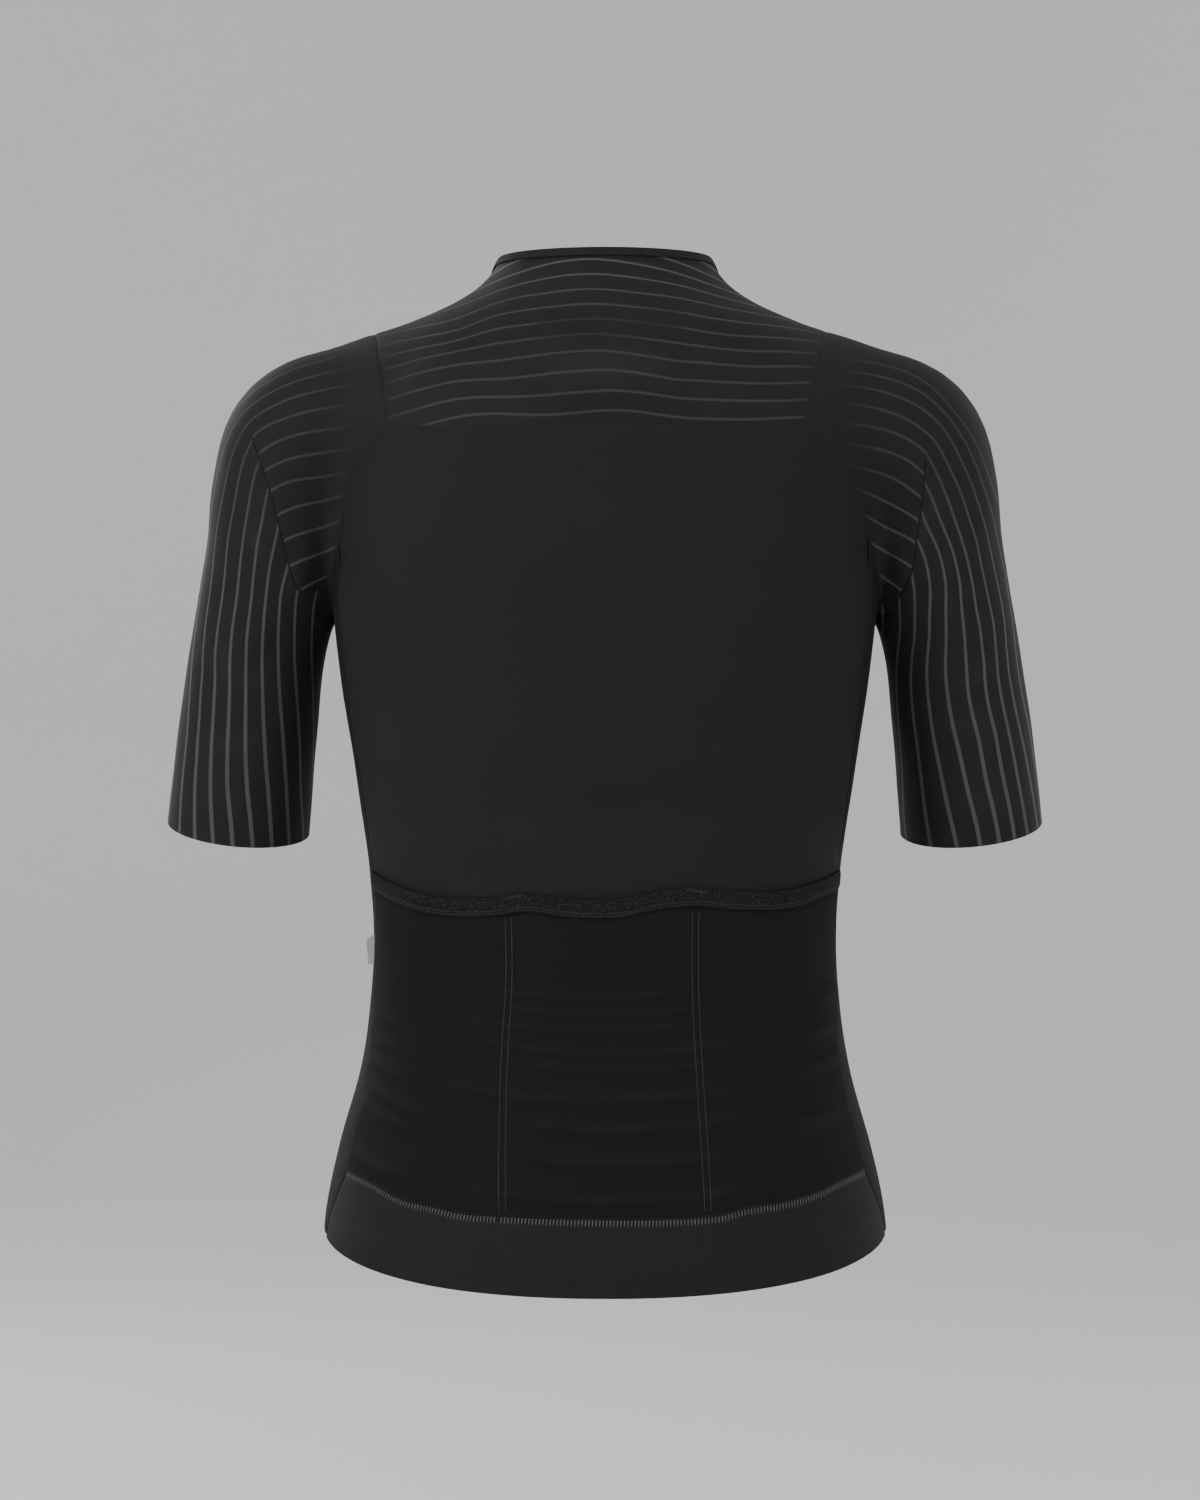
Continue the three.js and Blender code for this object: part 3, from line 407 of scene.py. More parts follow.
class Finish:
    """One finish: its node tree, a method that adds any node, and its Principled shader."""

    def __init__(self, name, **fixed):
        self.material = bpy.data.materials.new(name)
        self.material.use_nodes = True
        self.tree = self.material.node_tree
        self.tree.nodes.clear()
        self.surface = self.tree.nodes.new("ShaderNodeBsdfPrincipled")
        output = self.tree.nodes.new("ShaderNodeOutputMaterial")
        self.tree.links.new(self.surface.outputs[0], output.inputs[0])
        self.set(**fixed)

    def feed(self, node, sockets):
        for key, value in sockets.items():
            if isinstance(value, Shade):
                self.tree.links.new(value.socket, node.inputs[key])
            else:
                node.inputs[key].default_value = value

    def node(self, kind, settings, sockets, out=0):
        node = self.tree.nodes.new(kind)
        for key, value in settings.items():
            setattr(node, key, value)
        self.feed(node, sockets)
        return Shade(self, node.outputs[out])

    def mark(self, name):
        return self.node("ShaderNodeAttribute", {"attribute_name": name}, {}, "Fac")

    def over_cloth(self):
        """Metres across and down the piece, from its own map of the cloth."""
        spot = self.node("ShaderNodeUVMap", {"uv_map": "cloth"}, {})
        return [self.node("ShaderNodeSeparateXYZ", {}, {0: spot}, out) for out in (0, 1)]

    def place(self):
        return self.node("ShaderNodeTexCoord", {}, {}, "Object")

    def cloud(self, scale, detail=3.0):
        """Soft unevenness about a number of times a metre, from 0 to 1."""
        return self.node("ShaderNodeTexNoise", {}, {
            "Vector": self.place(), "Scale": scale, "Detail": detail, "Roughness": 0.55})

    def colour(self, dark, light, share):
        """From one tone to another by a share. A tone is a cool grey, or a colour socket."""
        dark, light = [tone if isinstance(tone, Shade) else (tone, tone, tone * 1.02, 1)
                       for tone in (dark, light)]
        return self.node("ShaderNodeMix", {"data_type": "RGBA"}, {0: share, 6: dark, 7: light}, 2)

    def raised(self, height, metres):
        """A fine relief of so many metres."""
        return self.node("ShaderNodeBump", {}, {
            "Height": height, "Strength": 1.0, "Distance": metres})

    def set(self, **sockets):
        """Feeds the shader's sockets, named in lower case with underscores."""
        titles = {key: key.replace("_", " ").title().replace("Ior", "IOR") for key in sockets}
        self.feed(self.surface, {titles[key]: sockets[key] for key in sockets})
        return self.material


DULL_CLOTH = 0.17
# Low and high ends of the cloth's tone: its uneven tone and knit, and the painted highlight and
# painted shade of the folds.
CLOTH_LOW_WEAR_AND_SHADE, CLOTH_HIGH_WEAR_AND_HIGHLIGHT = 0.78, 1.3
WALE, COURSE = 0.00085, 0.0007
STRIPE_EDGE = 32


def knit_loops(finish, across, down, wale=WALE, course=COURSE):
    """The small V stitches of a knit, as a height from 0 to 1."""
    wales = across * (1 / wale)
    lean = wales.off_whole() * 0.9
    rows = (down * (1 / course) + lean) * (2 * math.pi)
    rib = wales.off_whole() * 2
    return (rows.wave() * 0.5 + 0.5) * (rib * 0.75 + 0.25)


def knit(name, cloth, roughness, coarse=0.00004, wale=WALE, course=COURSE):
    """Plain stretch knit of one tone, slightly uneven, with a painted highlight on fold ridges and
    painted shade in fold hollows.
    """
    finish = Finish(name, specular_ior_level=DULL_CLOTH)
    across, down = finish.over_cloth()
    loops = knit_loops(finish, across, down, wale, course)
    uneven = finish.cloud(9.0) * 0.6 + finish.cloud(90.0, 4.0) * 0.4
    # The crest mark is the folds' height: it paints fold ridges paler and fold hollows darker, a
    # painted highlight and painted shade.
    tone = uneven * 0.7 + loops * 0.45 - 0.05 + finish.mark("crest") * 0.5
    return finish.set(
        base_color=finish.colour(cloth * CLOTH_LOW_WEAR_AND_SHADE, cloth * CLOTH_HIGH_WEAR_AND_HIGHLIGHT, tone.cut()),
        roughness=roughness + (uneven - 0.5) * 0.12,
        normal=finish.raised(loops, coarse))


def striped_knit(name, cloth, stripe):
    """Smooth knit with thin lighter stripes where the piece's own marks put them: two sets of
    stripes, a seam where the one gives way to the other, their half width and their strength,
    which also holds painted shade that dims them. The seam is painted as a dark line of shade,
    and fold ridges and hollows are painted paler and darker."""
    finish = Finish(name, specular_ior_level=DULL_CLOTH)
    across, down = finish.over_cloth()
    loops = knit_loops(finish, across, down)
    half = finish.mark("stripe_half")
    one, other = [((half - finish.mark(mark).off_whole()) * STRIPE_EDGE + 0.5).cut()
                  for mark in ("stripe_one", "stripe_other")]
    side = finish.mark("stripe_side") > 0.0
    # The stripes' strength mark dims them in places. Part of it is real fading, and part is painted
    # shade where the cloth turns into shadow.
    lines = (other * side + one * (1 - side)) * finish.mark("stripe_strength_and_shade")
    groove = (1.3 - finish.mark("stripe_side").size() * 1.5).cut() * finish.mark("seam_here")
    uneven = finish.cloud(11.0) * 0.6 + finish.cloud(120.0, 4.0) * 0.4
    stripe_wear_and_shade = (lines * (0.55 + uneven * 0.7) * (1 - groove)).cut()
    # The crest mark paints fold ridges paler and fold hollows darker: painted highlight and painted
    # shade.
    tone = uneven * 0.7 + loops * 0.45 - 0.05 + finish.mark("crest") * 0.4
    # Along the dart seam the cloth is painted at its darkest tone, with no stripe: painted shade in
    # the seam's groove.
    tone = tone.cut() * (1 - groove) - groove
    ground = finish.colour(cloth * CLOTH_LOW_WEAR_AND_SHADE, cloth * CLOTH_HIGH_WEAR_AND_HIGHLIGHT, tone)
    return finish.set(
        base_color=finish.colour(ground, stripe, stripe_wear_and_shade),
        roughness=0.72 + (uneven - 0.5) * 0.12 - lines * 0.1,
        normal=finish.raised(loops * (1 - 0.4 * lines) + lines * 0.5 - groove * 12, 0.00004))


STRIPED = striped_knit("striped_knit", 0.0150, 0.080)
SEAMS_LEFT = {
    "shoulder": [[84, -15, 3], [112, -15, -12], [142, -12, -22]],
    "yoke_side": [[142, -12, -22], [138, 25, -26], [134, 53, -49], [129, 69, -84]],
    "raglan": [[129, 69, -84], [142, 59, -96], [152, 49, -113], [157, 41, -131], [161, 35, -150]],
    "underarm": [[161, 35, -150], [165, 24, -165], [167, 12, -179], [168, 2, -185]],
    "side": [[161, 35, -150], [159, 34, -184], [157, 33, -208], [153, 25, -256], [146, 25, -304],
             [139, 24, -347], [137, 23, -403], [138, 27, -431], [143, 36, -467],
             [149, 41, -498], [154, 46, -527]],
    "band_side": [[154, 46, -527], [162, 36, -547], [167, 26, -567]]}
SEAMS_RIGHT = {
    "shoulder": [[82, -15, 3], [108, -15, -12], [137, -12, -21]],
    "yoke_side": [[137, -12, -21], [131, 28, -25], [126, 55, -46], [118, 77, -82]],
    "raglan": [[118, 77, -82], [133, 69, -94], [144, 60, -111], [152, 50, -126], [158, 41, -146]],
    "underarm": [[158, 41, -146], [163, 27, -164], [167, 12, -179], [168, 2, -185]],
    "side": [[158, 41, -146], [157, 38, -184], [155, 37, -208], [150, 30, -256], [145, 24, -304],
             [140, 21, -347], [139, 19, -390], [138, 28, -431], [142, 38, -470],
             [149, 42, -498], [155, 44, -527]],
    "band_side": [[155, 44, -527], [163, 33, -547], [168, 22, -567]]}
SHOULDER_TURN = 102
YOKE_FOOT = [[129, 69, -84], [91, 92, -87], [49, 102, -86], [3, 105, -85], [-43, 103, -85],
             [-85, 93, -85], [-118, 77, -82]]


def sides(sign):
    """Seam places of one side, +1 for the wearer's left, with the shoulder started at the neck."""
    rows = SEAMS_LEFT if sign > 0 else SEAMS_RIGHT
    placed = {name: np.array(places) * [sign, 1, 1] for name, places in rows.items()}
    start = neck_edge(np.array([sign * SHOULDER_TURN]))
    placed["shoulder"] = np.vstack([start, placed["shoulder"]])
    return placed


LEFT, RIGHT = sides(1), sides(-1)

# The stripes follow guide places read off the photo. Each stripe's number has its places
# (x, y) in an enlarged view, in thirds of the photo's pixels from that view's corner.
PIXEL, PHOTO_MIDDLE, ENLARGED = 0.61, (600, 750), 3
EYE = np.array([3.05, 2160, -274.5])
YOKE_CORNER = (420, 235)
YOKE_STRIPES = {
    0: [(730, 68), (830, 105)],
    1: [(250, 130), (300, 113), (380, 88), (450, 76), (520, 72), (600, 80), (700, 97), (800, 125)],
    2: [(250, 163), (330, 140), (430, 122), (520, 118), (620, 125), (780, 152)],
    3: [(205, 213), (280, 190), (380, 175), (520, 163), (640, 173), (755, 187)],
    4: [(130, 280), (200, 250), (280, 230), (360, 218), (655, 218), (750, 228), (1000, 265)],
    5: [(75, 325), (180, 295), (280, 272), (370, 261), (640, 260), (740, 273), (850, 288),
        (1105, 310)],
    6: [(0, 372), (100, 350), (200, 330), (300, 315), (370, 307), (655, 310), (740, 320),
        (850, 335), (1105, 350)],
    7: [(0, 415), (100, 392), (200, 380), (330, 363), (480, 350), (560, 350), (640, 360),
        (740, 375), (850, 383), (1105, 393)],
    8: [(0, 465), (100, 440), (200, 433), (330, 423), (480, 411), (560, 408), (640, 415),
        (750, 432), (900, 441), (1105, 444)],
    9: [(0, 520), (130, 490), (250, 487), (400, 478), (520, 468), (620, 468), (720, 480),
        (850, 493), (1105, 497)],
    10: [(0, 575), (130, 543), (230, 535), (380, 540), (520, 527), (640, 527), (760, 545),
         (900, 553), (1105, 548)]}


def read_off(corner, stripes):
    """Guide places of some stripes on the form, where the camera's lines through their places in
    the photo meet it, each with its stripe's number. A place whose line misses is left out."""
    numbers = np.repeat(list(stripes), [len(places) for places in stripes.values()])
    x, y = (np.array(corner) + np.vstack(list(stripes.values())) / ENLARGED).T
    way = np.stack([(PHOTO_MIDDLE[0] - x) * PIXEL, np.full(len(x), -EYE[1]),
                    (PHOTO_MIDDLE[1] - y) * PIXEL], -1)
    shares = np.linspace(0.93, 1.02, 400)[:, None]
    gap = form_gap(EYE + shares[..., None] * way)
    met = np.any(gap < 0, 0)
    inside = np.argmax(gap < 0, 0)[None]
    before, after = [np.take_along_axis(gap, inside - back, 0) for back in (1, 0)]
    share = (shares[inside[0] - 1] + (shares[1] - shares[0]) * (before / (before - after)).T)
    return np.column_stack([EYE + share * way, numbers])[met]


GUIDE_REACH, GUIDE_SLACK = 50, 0.006


def guided(spots):
    """A smooth field near guide places, whose rows end in the value that it has there."""
    places, values = spots[:, :-1], spots[:, -1]
    middle, count = places.mean(0), len(places)
    bend = (np.linalg.norm(places[:, None] - places, axis=-1) / GUIDE_REACH) ** 3
    bend += GUIDE_SLACK * np.eye(count)
    plane = np.hstack([np.ones((count, 1)), (places - middle) / GUIDE_REACH])
    corner = np.zeros((plane.shape[1], plane.shape[1]))
    weights = np.linalg.lstsq(np.block([[bend, plane], [plane.T, corner]]),
                              np.concatenate([values, corner[0]]), rcond=None)[0]

    def field(p):
        away = (np.linalg.norm(p[..., None, :] - places, axis=-1) / GUIDE_REACH) ** 3
        level = (p - middle) / GUIDE_REACH @ weights[count + 1:]
        return away @ weights[:count] + weights[count] + level

    return field


def steepness(values, rows):
    """How fast a field changes over the cloth, a millimetre."""
    down, across = np.gradient(values)
    p_down, p_across = np.gradient(rows, axis=0), np.gradient(rows, axis=1)
    e, f, g = (p_across ** 2).sum(-1), (p_across * p_down).sum(-1), (p_down ** 2).sum(-1)
    whole = np.maximum(e * g - f ** 2, 1e-9)
    return np.sqrt(np.abs(g * across ** 2 - 2 * f * across * down + e * down ** 2) / whole)


YOKE_FOLDS = [
    (1, [(36, -56), (0, -51), (-40, -52)], 12, 1.6),
    (1, [(60, -30), (30, -22), (8, -26)], 9, -0.5),
    (1, [(-52, -24), (-78, -34), (-96, -46)], 8, -0.6),
    (1, [(92, -40), (112, -54), (124, -72)], 8, 0.7),
    (1, [(-60, -74), (-80, -68), (-104, -70)], 7, 0.5),
]
SHOULDER_SHARE, NECK_STEPS = 0.2, 130
NECK_PATCH = (-2, -24, 44, 11)  # middle x and z, and half width and height, where stripes fade
STRIPE_SHADE_TO_SIDES = (146, 40)
u = np.concatenate([close_steps(90, 1.7)[:-5] * SHOULDER_SHARE,
                    SHOULDER_SHARE + even_steps(NECK_STEPS) * (1 - 2 * SHOULDER_SHARE)])
u = np.concatenate([u, 1 - u[:len(u) - NECK_STEPS - 1][::-1]])
v = close_steps(112, 1.6)
before, after = u < SHOULDER_SHARE, u > 1 - SHOULDER_SHARE
neck_turns = np.interp(u[~before & ~after], [SHOULDER_SHARE, 1 - SHOULDER_SHARE],
                       [SHOULDER_TURN, -SHOULDER_TURN])
top = np.vstack([
    seam(LEFT["shoulder"], 1 - u[before] / SHOULDER_SHARE),
    neck_edge(neck_turns),
    seam(RIGHT["shoulder"], (u[after] - 1 + SHOULDER_SHARE) / SHOULDER_SHARE)])
rows = sheet_between(top, seam(YOKE_FOOT, u), seam(LEFT["yoke_side"], v),
                     seam(RIGHT["yoke_side"], v), u, v)
normal = form_normal(rows)
values = guided(read_off(YOKE_CORNER, YOKE_STRIPES))(rows)
x, z = rows[..., 0], rows[..., 2]
# Stripe strength: dimmed towards both sides, where the yoke dips into the valley beside the sleeves,
# as painted shade. The lower stripes are made weaker, and the stripes fade over the neck patch and
# stop short of the seams.
light = np.clip((STRIPE_SHADE_TO_SIDES[0] - np.abs(x)) / STRIPE_SHADE_TO_SIDES[1], 0.12, 1)
light = light * np.interp(values, [1, 3, 6], [0.95, 0.6, 0.45])
in_patch = np.clip((NECK_PATCH[2] - np.abs(x - NECK_PATCH[0])) / 5, 0, 1)
in_patch = in_patch * np.clip((NECK_PATCH[3] - np.abs(z - NECK_PATCH[1])) / 4, 0, 1)
off_seam = np.clip((edge_distance(rows) - 1.2) / 1.5, 0, 1)
crest = folds(rows, normal, YOKE_FOLDS)
height = crest + ripple(rows, 0.5) + seam_dip(edge_distance(rows, "blr"))
back_yoke = cloth_wall("yoke_cloth", rows, normal, height, STRIPED, {
    "crest": crest,
    "stripe_one": values, "stripe_other": values, "stripe_side": values * 0 - 1,
    "seam_here": values * 0,
    "stripe_half": 0.8 * steepness(values, rows),
    "stripe_strength_and_shade": light * (1 - 0.65 * in_patch) * off_seam})
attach(back_yoke, "jersey")
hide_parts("back_yoke")

# Back panel: one plain stretch knit panel from the yoke's foot to the hem band. It runs on
# behind the pockets, where it makes their inner side.
BAND_SEAM = [[154, 46, -527], [137, 72, -532], [120, 88, -539], [101, 99, -542], [84, 106, -545],
             [60, 113, -546], [3, 119, -547], [-43, 117, -547], [-64, 112, -546],
             [-84, 106, -542], [-103, 98, -540], [-124, 85, -536], [-139, 70, -531],
             [-155, 44, -527]]
PLAIN = knit("plain_knit", 0.0158, 0.8)


def joined(parts, breaks, shares):
    """One edge made of several seams, each of which takes its stretch of the shares."""
    ends = [0, *breaks, 1]
    points = []
    for part, low, high in zip(parts, ends, ends[1:]):
        here = (shares >= low) & ((shares < high) | (high == 1))
        points.append(seam(part, (shares[here] - low) / (high - low)))
    return np.vstack(points)


BACK_FOLDS = [
    (1, [(162, -150), (146, -176), (132, -205)], 10, -2.2),
    (1, [(-158, -145), (-142, -172), (-126, -200)], 10, -2.2),
    (1, [(70, -300), (0, -306), (-70, -305)], 16, -2.0),
    (1, [(152, -176), (128, -196), (104, -206)], 8, 1.0),
    (1, [(-150, -172), (-124, -192), (-98, -200)], 8, 1.1),
    (1, [(148, -262), (118, -276), (84, -280)], 9, 0.9),
    (1, [(-146, -258), (-120, -274), (-86, -282)], 9, 0.8),
    (1, [(144, -318), (112, -330), (70, -332)], 8, 0.9),
    (1, [(-143, -316), (-110, -330), (-74, -334)], 8, 0.8),
    (1, [(60, -150), (10, -146), (-40, -152)], 22, 0.6),
]
RAGLAN_SHARE = 1 / 6
BEHIND_POCKETS = -420
u, v = close_steps(270, 2.1), np.union1d(close_steps(455, 2.2), [RAGLAN_SHARE])
rows = sheet_between(
    seam(YOKE_FOOT, u), seam(BAND_SEAM, u),
    *[joined([side["raglan"], side["side"]], [RAGLAN_SHARE], v) for side in (LEFT, RIGHT)], u, v)
normal = form_normal(rows)
crest = folds(rows, normal, BACK_FOLDS) * (rows[..., 2] > BEHIND_POCKETS)
height = crest + ripple(rows, 0.6) + seam_dip(edge_distance(rows))
back_panel = cloth_wall("back_cloth", rows, normal, height, PLAIN, {"crest": 0.12 * crest})
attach(back_panel, "jersey")
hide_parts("back_panel")

# Back pockets: one darker matte panel laid over the lower back and stitched down in two double
# rows, which make three pockets. It bows off the back a little between the rows.
MOUTH = [[138, 24, -347], [123, 49, -355], [106, 63, -360], [89, 72, -362], [61, 81, -361],
         [46, 85, -359], [19, 87, -362], [-9, 88, -362], [-23, 87, -359], [-38, 86, -356.5],
         [-53, 84, -355.5], [-73, 78, -357.5], [-97, 68, -358.5], [-113, 58, -356.5],
         [-128, 43, -352], [-140, 21, -347]]
MOUTH_BAND = 10.5
POCKET_EDGES = [145, 57, -54, -145]
POCKET_BOW, POCKET_FOOT, FLATTENING = 1.6, -545, 60
MATTE = knit("pocket_knit", 0.0096, 0.93, 0.00005, 0.001, 0.0008)


def pocket_slack(p):
    """How far the pocket cloth bows off the back panel between its rows of stitching."""
    slack = np.zeros(p.shape[:-1])
    for left, right in zip(POCKET_EDGES, POCKET_EDGES[1:]):
        way = (p[..., 0] - right) / (left - right)
        bow = POCKET_BOW * np.sin(math.pi * np.clip(way, 0, 1)) ** 2
        slack = np.where((way > 0) & (way < 1), bow, slack)
    return slack * np.clip((p[..., 2] - POCKET_FOOT) / FLATTENING, 0, 1)


def stretch_between(places, high, low, shares):
    """The part of a seam between two heights."""
    dense = smooth_line(places, even_steps(500))
    kept = dense[(dense[:, 2] <= high) & (dense[:, 2] >= low)]
    return settle(smooth_line(kept[::4], shares))


POCKET_FOLDS = [
    (1, [(140, -418), (122, -425), (104, -430)], 8, 2),
    (1, [(143, -462), (120, -472), (96, -478)], 9, 2.2),
    (1, [(148, -500), (128, -508), (110, -512)], 9, -1.8),
    (1, [(-140, -420), (-126, -430), (-112, -437)], 8, 1.8),
    (1, [(-143, -470), (-124, -478), (-104, -484)], 9, 2.2),
    (1, [(143, -407), (134, -414), (122, -418)], 3, 1.2),
    (1, [(144, -424), (132, -431), (120, -434)], 3, 1.2),
    (1, [(146, -437), (134, -446), (118, -451)], 3.2, 1.35),
    (1, [(147, -449), (132, -459), (112, -467)], 3.4, 1.5),
    (1, [(148, -466), (128, -478), (106, -487)], 3.4, 1.65),
    (1, [(147, -480), (130, -489), (112, -496)], 3.4, 1.2),
    (1, [(148, -511), (133, -518), (116, -522)], 3.6, 1.2),
    (1, [(-142, -414), (-132, -421), (-122, -425)], 3, 1.05),
    (1, [(-143, -432), (-130, -441), (-116, -447)], 3.2, 1.35),
    (1, [(-146, -452), (-130, -462), (-112, -467)], 3.4, 1.2),
    (1, [(-148, -488), (-128, -494), (-108, -497)], 3.4, 1.2),
    (1, [(98, -412), (20, -419), (-60, -415)], 1.9, 0.64),
    (1, [(84, -421), (10, -429), (-84, -423)], 1.9, 0.56),
    (1, [(104, -430), (20, -438), (-70, -433)], 2, 0.6),
    (1, [(90, -442), (0, -452), (-96, -444)], 2.1, 0.76),
    (1, [(60, -456), (-10, -461), (-76, -456)], 2.1, 0.6),
    (1, [(110, -468), (10, -478), (-104, -470)], 2.5, 0.84),
    (1, [(84, -487), (0, -494), (-90, -488)], 2.5, 0.72),
    (1, [(70, -508), (-10, -513), (-88, -509)], 2.5, 0.68),
    (1, [(96, -528), (0, -534), (-92, -529)], 2.5, 0.72),
]
FINE_FOLDS = [row for row in POCKET_FOLDS if row[2] < 5]
OVER_BACK = 1.7
u, v = close_steps(300, 1.9), close_steps(185, 1.3)
mouth_foot = settle(seam(MOUTH, u) - [0, 0, MOUTH_BAND])
band_top = seam(BAND_SEAM, u)
pocket_sides = [stretch_between(side["side"], mouth_foot[end, 2], band_top[end, 2], v)
                for side, end in ((LEFT, 0), (RIGHT, -1))]
mouth_foot[0], mouth_foot[-1] = pocket_sides[0][0], pocket_sides[1][0]
rows = sheet_between(mouth_foot, band_top, *pocket_sides, u, v)
normal = form_normal(rows)
stitched = np.min([np.abs(rows[..., 0] - x) for x in POCKET_EDGES[1:3]], 0)
height = OVER_BACK + pocket_slack(rows) + folds(rows, normal, POCKET_FOLDS) + ripple(rows, 0.5)
height += seam_dip(stitched, 0.5, 2.6) + seam_dip(edge_distance(rows), 1.0, 2.2)
# The fine folds are painted strongly into the pocket knit's tone: their ridges are paler and the
# strips beside them darker, a painted highlight and painted shade.
pocket_panel = cloth_wall("pocket_cloth", rows, normal, height, MATTE, {
    "crest": 1.7 * folds(rows, normal, FINE_FOLDS)})
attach(pocket_panel, "jersey")
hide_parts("pocket_panel")

# Pocket mouths: a heathered elastic, 10.5 mm wide, that holds the three openings against the back.
# It hangs slack in three shallow curves.
OVER_POCKETS, MOUTH_WALL = 2.3, 1.7
u, v = close_steps(300, 1.6), close_steps(MOUTH_BAND, 1.2)
mouth_top = seam(MOUTH, u)
mouth_low = settle(mouth_top - [0, 0, MOUTH_BAND])
ends = [mouth_top[k] + (mouth_low[k] - mouth_top[k]) * v[:, None] for k in (0, -1)]
rows = sheet_between(mouth_top, mouth_low, *ends, u, v)
normal = form_normal(rows)
height = OVER_POCKETS + pocket_slack(rows) + folds(rows, normal, POCKET_FOLDS) * 0.5
height += ripple(rows, 0.5) + seam_dip(edge_distance(rows, "tb"), 0.5, 1.2)


def heathered(name, dark, light, roughness, rib=0.0011, row=0.0009):
    """Elastic woven from two tones of yarn, with a fine rib across its width."""
    finish = Finish(name, specular_ior_level=DULL_CLOTH)
    across, down = finish.over_cloth()
    ribs = (across * (2 * math.pi / rib)).wave() * 0.5 + 0.5
    rows = (down * (2 * math.pi / row)).wave() * 0.5 + 0.5
    specks = finish.node("ShaderNodeTexNoise", {}, {
        "Vector": finish.place(), "Scale": 1300.0, "Detail": 2.0, "Roughness": 0.7})
    tone = ((specks - 0.5) * 7.0).cut() * (0.6 + ribs * 0.4)
    return finish.set(
        base_color=finish.colour(dark, light, tone), roughness=roughness + specks * 0.08,
        normal=finish.raised(ribs * 0.7 + rows * 0.3, 0.00009))


HEATHER = heathered("heather_elastic", 0.007, 0.046, 0.9)
pocket_binding = cloth_wall("pocket_mouth", rows, normal, height, HEATHER, wall=MOUTH_WALL)
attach(pocket_binding, "jersey")
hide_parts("pocket_binding")

# Back hem band: a flat elastic 46 mm deep that grips the hips. It is joined to the pockets and
# the back panel edge to edge, and its ends are caught in the side seams.
HEM_LEVEL, HEM_SLOPE = -560, 0.25


def hem_point(p):
    """Brings points to the hem's edge, which drops towards the back."""
    p = np.array(p, float)
    for _ in range(5):
        p[..., 2] = HEM_LEVEL - HEM_SLOPE * p[..., 1]
        p = settle(p)
    p[..., 2] = HEM_LEVEL - HEM_SLOPE * p[..., 1]
    return p


for side in (LEFT, RIGHT):
    side["band_side"][-1] = hem_point(side["band_side"][-1][None])[0]


def fine_elastic(name, cloth, roughness, pitch, row=0.0008):
    """Flat elastic knit with fine ribs across its width."""
    finish = Finish(name, specular_ior_level=DULL_CLOTH)
    across, down = finish.over_cloth()
    ribs = (across * (1 / pitch)).off_whole() * 2
    loops = (down * (2 * math.pi / row)).wave() * 0.5 + 0.5
    uneven = finish.cloud(14.0) * 0.6 + finish.cloud(150.0, 4.0) * 0.4
    # The crest mark paints fold ridges paler and fold hollows darker: painted highlight and painted
    # shade.
    tone = uneven * 0.6 + ribs * 0.4 + loops * 0.1 - 0.05 + finish.mark("crest") * 0.4
    return finish.set(
        base_color=finish.colour(cloth * 0.75, cloth * 1.3, tone.cut()),
        roughness=roughness + (uneven - 0.5) * 0.1,
        normal=finish.raised(ribs * 0.75 + loops * 0.25, 0.00007))


ELASTIC = fine_elastic("band_elastic", 0.0145, 0.78, 0.0013)
BAND_FOLDS = [
    (1, [(168, -552), (150, -560), (128, -563)], 4, 0.7),
    (1, [(-166, -550), (-148, -559), (-126, -562)], 4, 0.7),
    (1, [(60, -566), (0, -570), (-64, -566)], 7, 0.4),
]
u, v = close_steps(330, 2.0), close_steps(46, 1.9)
ends = [side["band_side"][-1] for side in (LEFT, RIGHT)]
sweep = [math.degrees(math.atan2(end[0], end[1])) for end in ends]
foot = hem_point(round_body(sweep[0] + (sweep[1] - sweep[0]) * u, HEM_LEVEL))
foot[0], foot[-1] = ends
rows = sheet_between(seam(BAND_SEAM, u), foot, seam(LEFT["band_side"], v),
                     seam(RIGHT["band_side"], v), u, v)
normal = form_normal(rows)
crest = folds(rows, normal, BAND_FOLDS)
height = crest + ripple(rows, 0.5)
height += seam_dip(edge_distance(rows, "tlr"), 0.7, 2.2)
back_hem_band = cloth_wall("hem_elastic", rows, normal, height, ELASTIC, {"crest": crest})
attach(back_hem_band, "jersey")
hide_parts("back_hem_band")

# Side panels: a narrow plain panel under each arm, from the armpit to the hem, sewn to the
# sleeve above, the back behind and the front before it.
FRONT_SIDE = [[160, -44, -150], [158, -46, -184], [156, -44, -208], [150, -38, -256],
              [143, -36, -304], [136, -36, -347], [134, -36, -403], [136, -38, -431],
              [142, -42, -467], [153, -44, -515], [164, -42, -550]]
UNDERARM_FRONT = [[168, 2, -185], [167, -12, -180], [164, -28, -166], [160, -44, -150]]
ARMHOLE_FRONT = [[160, -44, -150], [151, -62, -132], [142, -66, -106], [137, -58, -74],
                 [138, -38, -42]]
for side, sign in ((LEFT, 1), (RIGHT, -1)):
    side["front_side"] = np.array(FRONT_SIDE, float) * [sign, 1, 1]
    side["front_side"][-1] = hem_point(side["front_side"][-1][None])[0]
    side["underarm_front"] = np.array(UNDERARM_FRONT, float) * [sign, 1, 1]
    side["armhole_front"] = np.vstack([np.array(ARMHOLE_FRONT, float) * [sign, 1, 1],
                                       side["yoke_side"][:1]])
SIDE_FOLDS = [
    (1, [(160, -330), (146, -340), (130, -352)], 7, -0.9),
    (1, [(-160, -332), (-146, -342), (-130, -350)], 7, -0.9),
    (-1, [(160, -360), (146, -372), (128, -380)], 7, 0.9),
    (-1, [(-160, -356), (-146, -370), (-128, -380)], 7, 0.9),
]
BAND_STARTS = 20 / 22
